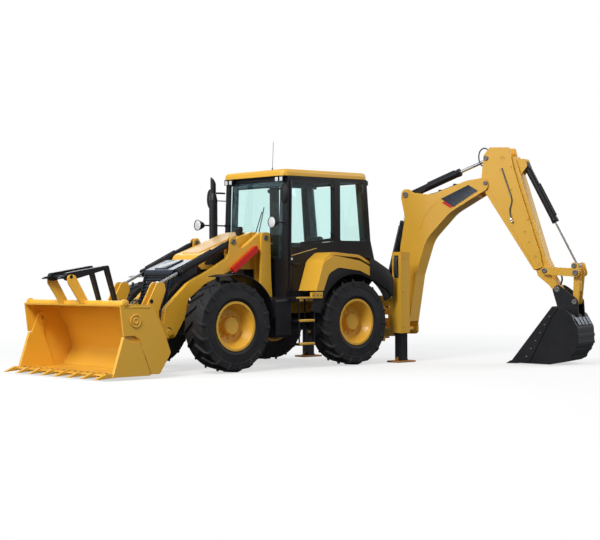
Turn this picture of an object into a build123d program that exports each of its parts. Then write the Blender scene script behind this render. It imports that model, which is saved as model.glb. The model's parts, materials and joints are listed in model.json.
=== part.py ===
"""Backhoe loader: every sub-part as its own solid, in millimetres.

+X runs forward to the loader bucket, +Y to the machine's left, +Z up.
The origin lies on the ground, on the mid-plane, under the rear axle.
"""
import os
from math import atan2, cos, degrees, hypot, pi, radians, sin

from build123d import *

# ---------------------------------------------------------------- driving sizes
wheel_base = 2320
track = 1890                # between the tyres' middle planes
tyre_radius = 645
tyre_width = 410
rim_radius = 346
rim_width = 376
lug_height = 38
lugs_per_side = 15
tyre_sides = 30
axle_z = tyre_radius
wheel_y = track / 2
kingpin_y = wheel_y - 325   # steering axis of each wheel, from the mid-plane

rail_low, rail_high = 780, 940
rail_front, rail_rear = wheel_base + 280, -900
engine_front, engine_length = wheel_base - 220, 700
nose_rear = wheel_base + 55

hood_half = 330             # half width of hood and nose
rail_out = hood_half + 15   # the frame's rails, from the mid-plane
rail_in = rail_out - 105
cab_half = 720
cab_floor_z = 1030
sill_z = 1840
roof_low, roof_high = 2815, 2915
cab_front = 1045
post_b_x = 30               # rear post of each door
skin = 30                   # thickness of cab walls and posts' skins
side_out = wheel_y + 165    # outer edge of fenders and steps
tank_front, tank_length = wheel_base - 870, 300

arm_width = 80
arm_in = rail_out + 45      # loader arm, from the mid-plane
arm_out = arm_in + arm_width
arm_pivot = (1250, 1900)
arm_hinge = (wheel_base + 674, 566)     # arm to bucket
tilt_base = (1829, 1835)    # tilt cylinder on the arm
tilt_eye = (arm_hinge[0] + 138, 1231)     # tilt cylinder on the bucket
lift_base = (1230, 520)
lift_eye = (1900, 1500)
pin_radius = 25
pin_gap = 5                 # between an ear and what turns in it

bucket_half = 1190
clam_pivot = (arm_hinge[0] + 1052, 764)
fork_pivot = (arm_hinge[0] + 1436, 1340)

carriage_face = -1155       # rear face of the frame that the carriage slides on
kingpost = (-1480, 200)
swing_heading = 108         # of the boom about the kingpost, from +X
boom_foot = (470, 490)      # (reach, height) in the boom's own plane, as below
boom_ram_base = (20, 770)
hump_pin = (505, 2613)
boom_tip = (1866, 2743)
stick_tilt = 17.5           # of the stick's run, from vertical
boom_half = 170
stick_half = 140
dig_half = 370

stabiliser = (-1010, 1070)
stabiliser_side = 190


# ---------------------------------------------------------------- helpers
def block(x, y, z):
    """Box between (low, high) pairs."""
    size = [high - low for low, high in (x, y, z)]
    middle = [(low + high) / 2 for low, high in (x, y, z)]
    return Pos(*middle) * Box(*size)


def outline(points):
    """Closed face from (u, v) or (u, v, corner radius) points."""
    corners = [(p[0], p[1]) for p in points]
    radii = [p[2] if len(p) > 2 else 0 for p in points]
    return make_face(FilletPolyline(*corners, radius=radii, close=True))


def side_plate(points, y_low, y_high):
    """Plate with an (x, z) outline between two y planes."""
    return extrude(Plane.XZ.offset(-y_high) * outline(points), y_high - y_low)


def front_plate(points, x_low, x_high):
    """Plate with a (y, z) outline between two x planes."""
    return extrude(Plane.YZ.offset(x_low) * outline(points), x_high - x_low)


def cross_pin(place, y_low, y_high, radius=pin_radius):
    """Cylinder along Y at an (x, z) place."""
    middle = Pos(place[0], (y_low + y_high) / 2, place[1])
    return middle * Rot(X=90) * Cylinder(radius, y_high - y_low)


def round_bar(start, end, radius, y=0.0, bore=0.0):
    """Cylinder between two (x, z) places in the plane at y."""
    run = Vector(end[0] - start[0], 0, end[1] - start[1])
    plane = Plane(origin=(start[0], y, start[1]), z_dir=run)
    bar = extrude(plane * Circle(radius), run.length)
    if bore:
        bar -= extrude(plane * Circle(bore), run.length)
    return bar


def link_bar(start, end, radius_a, radius_b, y_low, y_high):
    """Flat link with round ends between two (x, z) places."""
    run = Vector(end[0] - start[0], end[1] - start[1])
    side = run.normalized().rotate(Axis.Z, 90)
    a, b = Vector(*start), Vector(*end)
    corners = [a + side * radius_a, a - side * radius_a, b - side * radius_b, b + side * radius_b]
    face = outline([(c.X, c.Y) for c in corners])
    face += Pos(a.X, a.Y) * Circle(radius_a)
    face += Pos(b.X, b.Y) * Circle(radius_b)
    return extrude(Plane.XZ.offset(-y_high) * face, y_high - y_low)


def along(start, end, distance):
    """Place at a distance from start towards end."""
    length = hypot(end[0] - start[0], end[1] - start[1])
    share = distance / length
    return (start[0] + (end[0] - start[0]) * share, start[1] + (end[1] - start[1]) * share)


def both_sides(solid):
    """A piece and its mirror image across the mid-plane."""
    return solid + mirror(solid, about=Plane.XZ)


def ram(base, eye, tube, bore, retract, y, lugs, neck=0, fork=0):
    """Barrel and rod between two pins. tube is the barrel's length from its base pin, retract
    how far the rod goes in from here, lugs the widths of the base eye and of the rod's eye.
    A fork leaves a slot of that width in the base eye, as long as the neck."""
    wall, head, gland = 12, 12, 28
    rod_radius = bore * 0.55
    lug_radius = min(bore + 4, pin_radius + 20)
    neck = neck or lug_radius + 12
    start, end = along(base, eye, neck), along(base, eye, tube)
    half = lugs[0] / 2
    lug = link_bar(base, along(base, eye, neck + 5), lug_radius, lug_radius, y - half, y + half)
    if fork:
        slot_end = along(base, eye, neck - 12)
        lug -= link_bar(along(base, eye, -100), slot_end, 80, 80, y - fork / 2, y + fork / 2)
    barrel = round_bar(start, end, bore + wall, y) + lug
    barrel -= round_bar(along(base, eye, neck + head), along(base, eye, tube - gland), bore, y)
    barrel -= round_bar(along(base, eye, tube - gland - 5), along(base, eye, tube + 5), rod_radius + 1, y)
    barrel -= cross_pin(base, y - half - 5, y + half + 5, pin_radius + 1)
    piston = along(base, eye, neck + head + retract + 3)
    rod = round_bar(piston, along(eye, base, pin_radius), rod_radius, y)
    rod += round_bar(piston, along(base, eye, neck + head + retract + 30), bore - 1, y)
    half = lugs[1] / 2
    return barrel, rod + cross_pin(eye, y - half, y + half, pin_radius + 15)


swing_place = Pos(kingpost[0], kingpost[1], 0) * Rot(Z=swing_heading)
parts = {}


def keep(name, shape):
    parts[name] = shape


# ---------------------------------------------------------------- wheels, axles
rim_seat = rim_radius - 18   # radius that the tyre's beads sit on
bead = tyre_width / 2 - 45   # of each bead's outer edge, from the wheel's middle plane
rim_disc = -10               # inner face of the rim's disc, from the same plane
hub_dimples = 3


def ring(radius, y):
    """Regular polygon about the wheel's axis, in the plane at y."""
    return Plane.XZ.offset(-y) * RegularPolygon(radius, tyre_sides)


def make_lug():
    """One tread bar, slanting from the tyre's middle to its outer shoulder."""
    half, slant, width = tyre_width / 2, 0.8, 46

    def top(y):
        reach = abs(slant * (y - half / 2)) + width / 2
        return (tyre_radius ** 2 - reach ** 2) ** 0.5

    edge = [(8, tyre_radius - lug_height - 20), (8, top(8)), (half - 50, top(half - 50)),
            (half, top(half) - 48), (half - 8, top(half) - 115)]
    run = hypot(1, slant)
    plane = Plane(origin=(-slant * half / 2 - width / 2, 0, 0), x_dir=(slant, 1, 0),
                  z_dir=(1, -slant, 0))
    face = plane * outline([(y * run, z) for y, z in edge])
    return extrude(face, width, dir=(1, 0, 0))


def make_tyre():
    """Faceted carcass about the origin, with bars that alternate from side to side."""
    half = tyre_width / 2
    bore = rim_seat / cos(pi / tyre_sides)
    wall = (tyre_radius - 120, half - 6)
    walls = [wall, (tyre_radius - lug_height, half - 70)]
    sections = [ring(r, -y) for r, y in walls] + [ring(r, y) for r, y in reversed(walls)]
    tyre = loft(sections, ruled=True)
    for sign in (-1, 1):
        tyre -= loft([ring(wall[0], sign * wall[1]), ring(bore, sign * bead)], ruled=True)
    tyre -= extrude(ring(bore, -half), tyre_width, dir=(0, 1, 0))
    lug, pitch = make_lug(), 360 / lugs_per_side
    other = mirror(lug, about=Plane.XZ)
    lugs = [Rot(Y=pitch * place) * lug for place in range(lugs_per_side)]
    lugs += [Rot(Y=pitch * (place + 0.5)) * other for place in range(lugs_per_side)]
    return tyre + lugs


def make_rim():
    """Rim about the origin: deep conical dish to +Y round a hub cap with dimples."""
    half = rim_width / 2
    cap, cap_face = 122, 96
    profile = [
        (rim_seat - 14, -half), (rim_radius, -half), (rim_radius, -half + 14), (rim_seat, -bead),
        (rim_seat, bead), (rim_radius, half - 14), (rim_radius, half), (rim_seat - 14, half),
        (rim_seat - 34, half - 50), (230, rim_disc + 24), (cap + 22, rim_disc + 16),
        (cap + 6, rim_disc + 16), (cap, cap_face - 12), (cap - 16, cap_face), (0, cap_face),
        (0, rim_disc), (rim_seat - 40, rim_disc), (rim_seat - 14, rim_disc - 40),
    ]
    rim = revolve(Plane.XY * outline(profile), Axis.Y)
    for place in range(hub_dimples):
        turn = Rot(Y=360 / hub_dimples * place)
        rim -= turn * Pos(0, cap_face, cap * 0.56) * Rot(X=90) * Cylinder(19, 24)
    return rim


def make_knuckle():
    """Steering knuckle of a left wheel, kingpin on Z at x = 0."""
    stub_end = track / 2 - 12
    knuckle = Pos(0, kingpin_y, axle_z) * Cylinder(62, 176)
    knuckle += cross_pin((0, axle_z), kingpin_y, stub_end, 85)
    knuckle += cross_pin((0, axle_z), kingpin_y + 95, kingpin_y + 200, 150)
    return knuckle


def make_axle():
    """Axle beam with its differential and the forks for both kingpins."""
    beam = cross_pin((0, axle_z), -kingpin_y + 100, kingpin_y - 100, 75)
    beam += cross_pin((0, axle_z), -150, 150, 150)
    fork = block((-58, 58), (kingpin_y - 125, kingpin_y - 72), (axle_z - 140, axle_z + 125))
    for low in (axle_z - 140, axle_z + 95):
        fork += block((-58, 58), (kingpin_y - 125, kingpin_y), (low, low + 30 + 15 * (low < axle_z)))
        fork += Pos(0, kingpin_y, low + 15 + 7.5 * (low < axle_z)) * Cylinder(
            58, 30 + 15 * (low < axle_z))
    return beam + both_sides(fork)


def make_mudguard():
    """Left front mudguard over its wheel, on a stalk from the knuckle."""
    inner, outer = wheel_y - tyre_width / 2, wheel_y + tyre_width / 2 + 10
    radius = tyre_radius + 67
    ring = cross_pin((0, axle_z), inner + 25, outer, radius + 10)
    ring -= cross_pin((0, axle_z), inner, outer + 10, radius)
    sector = [(0, axle_z), (260, axle_z + 900), (-200, axle_z + 1100), (-1100, axle_z + 900),
              (-1100, axle_z + 170)]
    guard = ring & side_plate(sector, inner, outer + 10)
    guard += block((-30, 30), (inner - 25, inner - 7), (axle_z + 100, axle_z + radius + 10))
    return guard + block((-30, 30), (inner - 25, inner + 50), (axle_z + radius, axle_z + radius + 10))


tyre, rim = make_tyre(), make_rim()
knuckle, axle = make_knuckle(), make_axle()
axles = []
for name, x in (("front", wheel_base), ("rear", 0)):
    for side, sign in (("left", 1), ("right", -1)):
        place = Pos(x, sign * wheel_y, axle_z)
        turn = Rot(Z=0 if sign > 0 else 180)
        keep(f"tyre_{name}_{side}", place * turn * tyre)
        keep(f"rim_{name}_{side}", place * turn * rim)
        piece = Pos(x, 0, 0) * knuckle
        keep(f"knuckle_{name}_{side}", piece if sign > 0 else mirror(piece, about=Plane.XZ))
    if name == "front":
        for side in ("left", "right"):
            guard = Pos(x, 0, 0) * make_mudguard()
            knuckles = parts[f"knuckle_front_{side}"]
            parts[f"knuckle_front_{side}"] = knuckles + (
                guard if side == "left" else mirror(guard, about=Plane.XZ))
    saddle = block((x - 90, x + 90), (rail_in, rail_out), (axle_z + 60, rail_low))
    beam = Pos(x, 0, 0) * axle + both_sides(saddle - cross_pin((x, axle_z), 0, 500, 75))
    axles.append(beam)
keep("axles", Compound(children=axles))


# ---------------------------------------------------------------- main frame
def make_main_frame():
    rail = block((rail_rear, rail_front), (rail_in, rail_out), (rail_low, rail_high))
    tower = [(1120, 480, 30), (1390, 480, 30), (1390, 900, 60), (1345, 1300), (1330, 1980, 60),
             (1165, 1980, 60), (1150, 1300), (1120, 900)]
    plates = side_plate(tower, rail_out, arm_in - pin_gap)
    plates += side_plate(tower, arm_out + pin_gap, arm_out + 45)
    web = block((1125, 1150), (arm_in - pin_gap, arm_out + pin_gap), (700, 1500))
    plates += web
    for place in (arm_pivot, lift_base):
        plates += cross_pin(place, rail_out, arm_out + 45, pin_radius)
    frame = both_sides(rail + plates)
    for x in (-880, -400, 1150, engine_front - 400, wheel_base + 180):
        frame += block((x, x + 60), (-rail_in, rail_in), (rail_low + 20, rail_high - 20))
    bumper = block((rail_front, rail_front + 180), (-rail_out, rail_out), (rail_low - 60, rail_high))
    return frame + bumper


def make_engine():
    rear = engine_front - engine_length
    engine = block((rear, engine_front), (-200, 200), (rail_high + 5, 1480))
    engine += block((rear, engine_front - 50), (-150, 150), (700, rail_high + 5))
    return engine - block((engine_front - 405, engine_front - 335), (-230, 230), (rail_low, rail_high))


keep("main_frame", make_main_frame())
keep("engine_block", make_engine())


# ---------------------------------------------------------------- hood and nose
nose_front_low = (nose_rear + 575, 860)
nose_front_high = (nose_rear + 437, 1430)
hood_front = nose_rear - 15
hood_profile = [(1090, 1960), (1360, 1990, 200), (hood_front - 58, 1650, 120), (hood_front, 1500),
                (hood_front - 58, 1440), (1090, 1440)]
hood_skin = 25
vent_depth = 14


def make_hood():
    shell = side_plate(hood_profile, -hood_half, hood_half)
    inner = [(x - (x > 2000) * hood_skin, z - hood_skin * 1.2 * (z > 1440)) for x, z, *_ in hood_profile]
    inner[-2] = (inner[-2][0], 1300)
    inner[-1] = (1000, 1300)
    inner[0] = (1000, inner[0][1])
    shell -= side_plate(inner, -hood_half + hood_skin, hood_half - hood_skin)
    vent = [(hood_front - 110, 1500, 15), (hood_front - 150, 1600, 15), (hood_front - 480, 1715, 15),
            (hood_front - 455, 1500, 15)]
    shell -= both_sides(side_plate(vent, hood_half - vent_depth, hood_half + 5))
    for row in range(4):
        z = 1530 + 42 * row
        louvre = block((hood_front - 475, hood_front - 120 - 45 * row),
                       (hood_half - vent_depth, hood_half - 2), (z, z + 8))
        shell += both_sides(louvre & side_plate(vent, hood_half - 20, hood_half))
    return shell


def make_nose():
    profile = [(0, 1508), (45, 1590, 40), (437, 1430, 50), (575, 860), (415, 860), (415, 950),
               (245, 950), (175, 1000), (0, 1380)]
    shell = side_plate(profile, -hood_half, hood_half)
    cavity = [(-25, 1490), (45, 1560), (405, 1405), (530, 975), (295, 975), (225, 1030), (-25, 1430)]
    shell -= side_plate(cavity, -hood_half + hood_skin, hood_half - hood_skin)
    return Pos(nose_rear, 0, 0) * shell


def make_grille():
    run = hypot(nose_front_low[0] - nose_front_high[0], nose_front_low[1] - nose_front_high[1])
    lean = degrees(atan2(nose_front_low[0] - nose_front_high[0],
                         nose_front_high[1] - nose_front_low[1]))
    frame = Box(20, 2 * hood_half - 60, run - 90)
    slots = Box(40, 2 * hood_half - 110, run - 140)
    grille = frame - slots
    for row in range(9):
        z = (row - 4) * (run - 140) / 9
        grille += Pos(0, 0, z) * Box(18, 2 * hood_half - 110, 12)
    middle = ((nose_front_low[0] + nose_front_high[0]) / 2 + 10,
              (nose_front_low[1] + nose_front_high[1]) / 2)
    return Pos(middle[0] + 3, 0, middle[1]) * Rot(Y=-lean) * grille


keep("hood", make_hood())
keep("nose", make_nose())
keep("grille", make_grille())


# ---------------------------------------------------------------- cab
door_edge = [(990, cab_floor_z + 60), (905, cab_floor_z + 60), (800, 1560), (700, sill_z - 30),
             (post_b_x + 40, sill_z + 20), (post_b_x + 40, roof_low - 45), (955, roof_low - 45)]


wheel_well = 730            # radius of the arch that the steered wheel turns in
well_y = 500                # inner wall of that arch
side_window = [(-60, sill_z + 30, 30), (-60, roof_low - 55, 30), (-545, roof_low - 55, 30),
               (-610, sill_z + 30, 30)]
screen = [(-620, 1600, 40), (620, 1600, 40), (620, roof_low - 60, 40), (-620, roof_low - 60, 40)]


def make_cab():
    """Lower tub, posts and top ring, open at the doors and windows."""
    body = [(cab_front, cab_floor_z), (cab_front, 1560), (990, roof_low), (-620, roof_low),
            (-700, sill_z + 40), (-790, 1560), (-790, cab_floor_z + 270), (-500, cab_floor_z)]
    shell = side_plate(body, -cab_half, cab_half)
    shell -= both_sides(cross_pin((0, axle_z), well_y, cab_half + 50, wheel_well))
    room = [(cab_front - skin, cab_floor_z + 30), (cab_front - skin, 1560), (960, roof_low + 10),
            (-590, roof_low + 10), (-670, sill_z + 40), (-760, 1560), (-760, cab_floor_z + 285),
            (-490, cab_floor_z + 30)]
    space = side_plate(room, -cab_half + skin, cab_half - skin)
    space -= both_sides(cross_pin((0, axle_z), well_y - skin, cab_half + 50, wheel_well + skin))
    shell -= space
    door_hole = offset(outline(door_edge), 6, kind=Kind.INTERSECTION)
    shell -= extrude(Plane.XZ.offset(-cab_half - 10) * door_hole, 2 * cab_half + 20)
    shell -= side_plate(side_window, -cab_half - 10, cab_half + 10)
    shell -= front_plate(screen, 900, cab_front + 50)
    shell -= front_plate(screen, -850, -560)
    return shell


def make_roof():
    slab = block((-660, 1070), (-cab_half - 10, cab_half + 10), (roof_low, roof_high))
    slab = fillet(slab.edges().filter_by(Axis.Z), 120)
    return fillet(slab.faces().sort_by(Axis.Z)[-1].edges(), 55)


def make_glass():
    """Windscreen, rear window and side windows, each a pane of its own."""
    pane = front_plate([(y * 0.985, 1612 if z < 2000 else z - 14, r) for y, z, r in screen], -3, 3)
    glass = None
    for x_low, x_high in ((cab_front - 14, 976), (-776, -606)):
        lean = degrees(atan2(x_high - x_low, roof_low - 1560))
        placed = Pos(x_low, 0, 1560) * Rot(Y=lean) * Pos(0, 0, -1560) * pane
        glass = placed if glass is None else glass + placed
    sides = side_plate([(x, z, r + 3) for x, z, r in side_window], cab_half - 18, cab_half - 12)
    return glass + both_sides(sides)


keep("cab_frame", make_cab())
keep("cab_roof", make_roof())
keep("cab_glass", make_glass())


def make_door():
    """Left door: a frame along its edge with a glazed middle."""
    low, high = cab_half - skin, cab_half
    outer = side_plate(door_edge, low, high)
    pane = [(945, cab_floor_z + 105), (935, cab_floor_z + 105), (840, 1570), (735, sill_z),
            (post_b_x + 85, sill_z + 65), (post_b_x + 85, roof_low - 90), (915, roof_low - 90)]
    return outer - side_plate(pane, low - 5, high + 5), side_plate(pane, low + 10, low + 16)


door, door_pane = make_door()
for side, flip in (("left", False), ("right", True)):
    keep(f"door_{side}", mirror(door, about=Plane.XZ) if flip else door)
    keep(f"door_glass_{side}", mirror(door_pane, about=Plane.XZ) if flip else door_pane)


def make_seat():
    base = block((-30, 330), (-170, 170), (cab_floor_z + 30, 1180))
    base += block((20, 280), (-130, 130), (1180, 1330))
    cushion = fillet(block((-90, 400), (-250, 250), (1330, 1440)).edges(), 35)
    back = fillet((Pos(-95, 0, 1735) * Rot(Y=-10) * Box(110, 460, 640)).edges(), 35)
    for y in (-275, 275):
        back += block((-110, 200), (y - 30, y + 30), (1600, 1640))
        back += block((-110, -60), (y - 30, y + 30), (1380, 1600))
    return base + cushion + back


def make_console():
    column = round_bar((890, cab_floor_z + 60), (674, 1660), 45)
    column += block((830, 960), (-110, 110), (cab_floor_z + 30, cab_floor_z + 130))
    lean = degrees(atan2(-220, 1640 - cab_floor_z - 30))
    wheel = Pos(672, 0, 1662) * Rot(Y=lean) * (Torus(180, 15) + Cylinder(30, 30)
                                               + Box(360, 30, 12) + Box(30, 360, 12))
    return column + wheel


keep("operator_station", Compound(children=[make_seat(), make_console()]))


# ---------------------------------------------------------------- fenders, boxes, steps
def make_fender():
    """Left rear fender: sheet over the wheel with a lip along its outer edge."""
    outer = [(795, 1120), (640, 1560, 140), (450, 1690, 160), (-100, 1650, 250), (-700, 1370, 100),
             (-800, 1230), (-770, 1215), (-680, 1340, 90), (-100, 1605, 240), (430, 1645, 150),
             (615, 1530, 120), (775, 1120)]
    lip = [(795, 1120), (645, 1540, 140), (450, 1640, 160), (-100, 1560, 250), (-700, 1300, 100),
           (-800, 1150), (-740, 1100), (-580, 1230, 150), (-100, 1410, 250), (350, 1460, 200),
           (540, 1370, 150), (650, 1120)]
    sheet = side_plate(outer, cab_half + 5, side_out - 25)
    return sheet + side_plate(lip, side_out - 25, side_out)


def make_step():
    """Left steps below the door, with the tank beside them."""
    tank_rear = tank_front - tank_length
    tank = block((tank_rear, tank_front), (arm_out + 60, side_out - 150), (450, 1010))
    long_edges = tank.edges().filter_by(Axis.X)
    tank = fillet(long_edges, 45)
    step_rear, step_front = tank_rear - 330, tank_rear - 30
    platform = block((step_rear, tank_rear + 30), (arm_out + 60, side_out), (1000, 1030))
    step = tank + platform
    for z in (345, 680):
        tread = block((step_rear, step_front), (side_out - 230, side_out - 10), (z - 15, z + 15))
        for row in range(4):
            x = step_rear + 15 + 70 * row
            tread -= block((x, x + 55), (side_out - 210, side_out - 30), (z - 20, z + 20))
        step += tread
    for x in (step_rear, step_front - 15):
        step += block((x, x + 15), (side_out - 230, side_out - 210), (330, 1000))
    return step


keep("rear_fenders", both_sides(make_fender()))
keep("side_boxes", both_sides(make_step()))

stack_x, stack_y = tank_front - 103, -(cab_half - 120)


def make_stack():
    """Exhaust pipe with its muffler and a slanted open tip, tied to the cab's front post."""
    pipe, muffler = 42, 64
    profile = [(0, 1010), (pipe, 1010), (pipe, 1790), (muffler, 1860), (muffler, 2500), (pipe, 2600),
               (pipe, 2840), (0, 2840)]
    stack = Pos(stack_x, stack_y, 0) * revolve(Plane.XZ * outline(profile), Axis.Z)
    for z in (2100, 2480):
        stack += block((1046, stack_x), (stack_y - 14, stack_y + 14), (z, z + 14))
    stack -= Pos(stack_x, stack_y, 2780) * Cylinder(pipe - 4, 200)
    wedge = block((-400, 0), (stack_y - 90, stack_y + 90), (0, 200))
    tip = Pos(stack_x + pipe, 0, 2840) * Rot(Y=-55) * wedge
    return stack - tip


keep("exhaust_stack", make_stack())


def lamp_body(depth, width, height):
    """Housing that widens towards its lens at +X."""
    faces = [Plane.YZ.offset(x) * RectangleRounded(width * share, height * share, 14 * share)
             for x, share in ((0, 0.62), (depth - 18, 1), (depth, 1))]
    return loft(faces, ruled=True)


def make_lamps():
    """Roof lamps at the four corners, and a head lamp on each side of the hood."""
    lamps = None
    height = roof_low - 48
    spots = [(1004, y, 0) for y in (-640, -540, 540, 640)]
    spots += [(-632, y, 180) for y in (-640, -540, 540, 640)]
    for x, y, turn in spots:
        lamp = Pos(x, y, height) * Rot(Z=turn) * lamp_body(62, 82, 76)
        lamp += block((x - 6, x + 6), (y - 20, y + 20), (height, roof_low)).moved(
            Pos(20 if turn == 0 else -20, 0, 0))
        lamps = lamp if lamps is None else lamps + lamp
    for x, y, stay in ((1240, 630, (600, 640)), (1540, -750, (-712, -690))):
        lamps += Pos(x, y, 2115) * lamp_body(90, 140, 110)
        lamps += block((1046, x + 10), stay, (2100, 2125))
    return lamps


def make_mirrors():
    """A mirror on an arm at each front corner of the roof."""
    mirrors = None
    for sign in (-1, 1):
        glass = Pos(0, sign * 865, 2530) * extrude(Plane.YZ.offset(1180) * Ellipse(78, 150), 30)
        glass = fillet(glass.faces().sort_by(Axis.X)[-1].edges(), 14)
        low, high = sorted((sign * 690, sign * 880))
        arm = block((1155, 1180), (low, high), (2600, 2625))
        low, high = sorted((sign * 690, sign * 715))
        arm += block((1041, 1180), (low, high), (2600, 2625))
        pair = glass + arm
        mirrors = pair if mirrors is None else mirrors + pair
    return mirrors


keep("work_lamps", make_lamps())
keep("mirrors", make_mirrors())


# ---------------------------------------------------------------- loader
def make_arm():
    """Left loader arm: box section, forked at the hump and over the lift eye."""
    reach = arm_hinge[0]
    profile = [
        (1160, 1900, 88), (1200, 1975, 60), (1320, 1975, 60), (1700, 1710, 60), (1752, 1830, 60),
        (1790, 1915, 60), (1885, 1895, 60), (1925, 1600, 60), (reach - 713, 1414, 120),
        (reach - 374, 1262, 200), (reach + 44, 905, 150), (reach + 81, 600, 60), (reach + 36, 480, 70),
        (reach - 108, 484, 50), (reach - 294, 760, 90), (reach - 344, 1010, 150),
        (reach - 640, 1230, 150), (1860, 1428, 120), (1190, 1815, 60),
    ]
    arm = side_plate(profile, arm_in, arm_out)
    middle = (arm_in + arm_out) / 2
    slot_half = 24
    hump = [(1680, 1980), (2050, 1980), (2020, 1640), (1740, 1690)]
    belly = [(1450, 1850), (1560, 1350), (2300, 1000), (2200, 1380), (1960, 1530), (1700, 1640)]
    for cut in (hump, belly):
        arm -= side_plate(cut, middle - slot_half, middle + slot_half)
    arm -= cross_pin(arm_pivot, arm_in, arm_out, pin_radius + 1)
    arm += cross_pin(tilt_base, arm_in, arm_out, pin_radius)
    arm += cross_pin(arm_hinge, arm_in - 45, arm_out + 45, pin_radius)
    for low, high in ((arm_in - 48, arm_in - 40), (arm_out + 40, arm_out + 48)):
        arm += cross_pin(arm_hinge, low, high, 46)
    return arm


arm = make_arm()
keep("loader_arm_left", arm)
keep("loader_arm_right", mirror(arm, about=Plane.XZ))
arm_tube = (arm_hinge[0] - 69, 675)
keep("loader_crossbar", cross_pin(arm_tube, -arm_in, arm_in, 52))

brace = side_plate([(1430, 1790, 15), (1400, 1700, 15), (1850, 1385, 15), (1900, 1455, 15)],
                   arm_out + 8, arm_out + 65)
for place in ((1440, 1735), (1860, 1440)):
    brace += cross_pin(place, arm_out, arm_out + 10, 20)
keep("arm_brace", brace)

arm_middle = (arm_in + arm_out) / 2
lift_barrel, lift_rod = ram(lift_base, lift_eye, 1035, 28, 50, arm_middle, (50, 36))
tilt_barrel, tilt_rod = ram(tilt_base, tilt_eye, 1065, 38, 305, arm_middle, (38, 60), neck=132)
keep("lift_barrels", both_sides(lift_barrel))
keep("lift_rods", both_sides(lift_rod))
keep("tilt_barrels", both_sides(tilt_barrel))
keep("tilt_rods", both_sides(tilt_rod))


def ahead(points):
    """Places drawn from the bucket's hinge along X, moved to where the hinge is."""
    return [(arm_hinge[0] + p[0],) + tuple(p[1:]) for p in points]


def make_bucket():
    """Mouldboard, upper side plates, lip tube and the coupler ears."""
    wall = 25
    side = [(1293, 980), (1239, 573), (1066, 571), (991, 525), (806, 60), (669, 58, 40),
            (486, 330, 60), (606, 640, 80), (793, 968), (1106, 985)]
    plates = both_sides(side_plate(ahead(side), bucket_half - wall, bucket_half))
    back = [(806, 60), (669, 58, 60), (486, 330, 120), (606, 640, 150), (793, 968), (1293, 980),
            (1289, 955), (806, 943), (634, 640, 150), (514, 332, 110), (681, 83, 50), (806, 85)]
    bucket = plates + side_plate(ahead(back), -bucket_half + wall, bucket_half - wall)
    lip = (arm_hinge[0] + 1206, 995)
    bucket += cross_pin(lip, -bucket_half, bucket_half, 35)
    bucket += both_sides(cross_pin(lip, bucket_half - 55, bucket_half, 50))
    bucket += both_sides(cross_pin(clam_pivot, bucket_half - 60, bucket_half, pin_radius))
    hanger = [(1156, 990), (1381, 1370, 50), (1496, 1370, 50), (1486, 1260, 50), (1296, 985)]
    for y in (-fork_y - 70, fork_y + 45):
        plate = side_plate(ahead(hanger), y, y + 25)
        bucket += plate - cross_pin(fork_pivot, y - 5, y + 30, pin_radius + 1)
    ear = [(-69, 580, 35), (-14, 500, 35), (306, 420), (506, 200), (806, 968), (406, 900, 60),
           (206, 1260, 60), (86, 1270, 60), (66, 1150, 60), (206, 800, 150), (66, 640, 60)]
    inside = [(646, 100), (514, 332), (634, 640), (806, 943), (1306, 943), (1306, 100)]
    hollow = side_plate(ahead(inside), -600, 600)
    for low in (arm_in - 35, arm_out + 10):
        plate = side_plate(ahead(ear), low, low + 25) - hollow
        plate -= cross_pin(arm_hinge, low - 5, low + 30, pin_radius + 1)
        bucket += both_sides(plate)
    return bucket


clam_teeth = 8
clam_seam = 275             # radius about the clam's pivot that clears the fixed side plate


def make_clam():
    """Front floor, side wedges hung from their pivots and the toothed edge."""
    wall = 25
    inner_high = bucket_half - wall - pin_gap
    wedge = [(1234, 565), (1071, 563), (1001, 518), (821, 75), (821, 45), (1406, 45)]
    hanger = link_bar(clam_pivot, (arm_hinge[0] + 1116, 480), 60, 110, inner_high - wall, inner_high)
    hanger += side_plate(ahead(wedge), inner_high - wall, inner_high)
    hanger += cross_pin(clam_pivot, inner_high - wall - 22, inner_high - wall, 78)
    flush = side_plate(ahead(wedge), inner_high, bucket_half)
    flush -= cross_pin(clam_pivot, 0, bucket_half + 10, clam_seam)
    hanger -= cross_pin(clam_pivot, 0, bucket_half + 10, pin_radius + 1)
    floor_half = inner_high - wall
    clam = both_sides(hanger + flush)
    floor = [(821, 45), (1486, 45), (1406, 72), (821, 80)]
    clam += side_plate(ahead(floor), -floor_half, floor_half)
    pitch = 2 * (bucket_half - 60) / (clam_teeth - 1)
    tooth_outline = [(1306, 45), (1656, 22), (1486, 95), (1306, 85)]
    for tooth in range(clam_teeth):
        y = -bucket_half + 60 + tooth * pitch
        clam += side_plate(ahead(tooth_outline), y - 30, y + 30)
    return clam


fork_y = 195
fork_corner = (arm_hinge[0] + 841, 1470)
fork_end = (arm_hinge[0] + 551, 540)


def make_forks():
    """Two forks on one cross pin, folded back over the bucket."""
    forks = cross_pin(fork_pivot, -fork_y - 70, fork_y + 70, pin_radius)
    for y in (-fork_y, fork_y):
        shank = link_bar((fork_pivot[0] + 10, 1345), fork_corner, 55, 25, y - 40, y + 40)
        blade = link_bar(fork_corner, fork_end, 25, 12, y - 40, y + 40)
        forks += shank + blade
    return forks


keep("loader_bucket", make_bucket())
keep("bucket_clam", make_clam())
keep("pallet_forks", make_forks())


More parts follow.
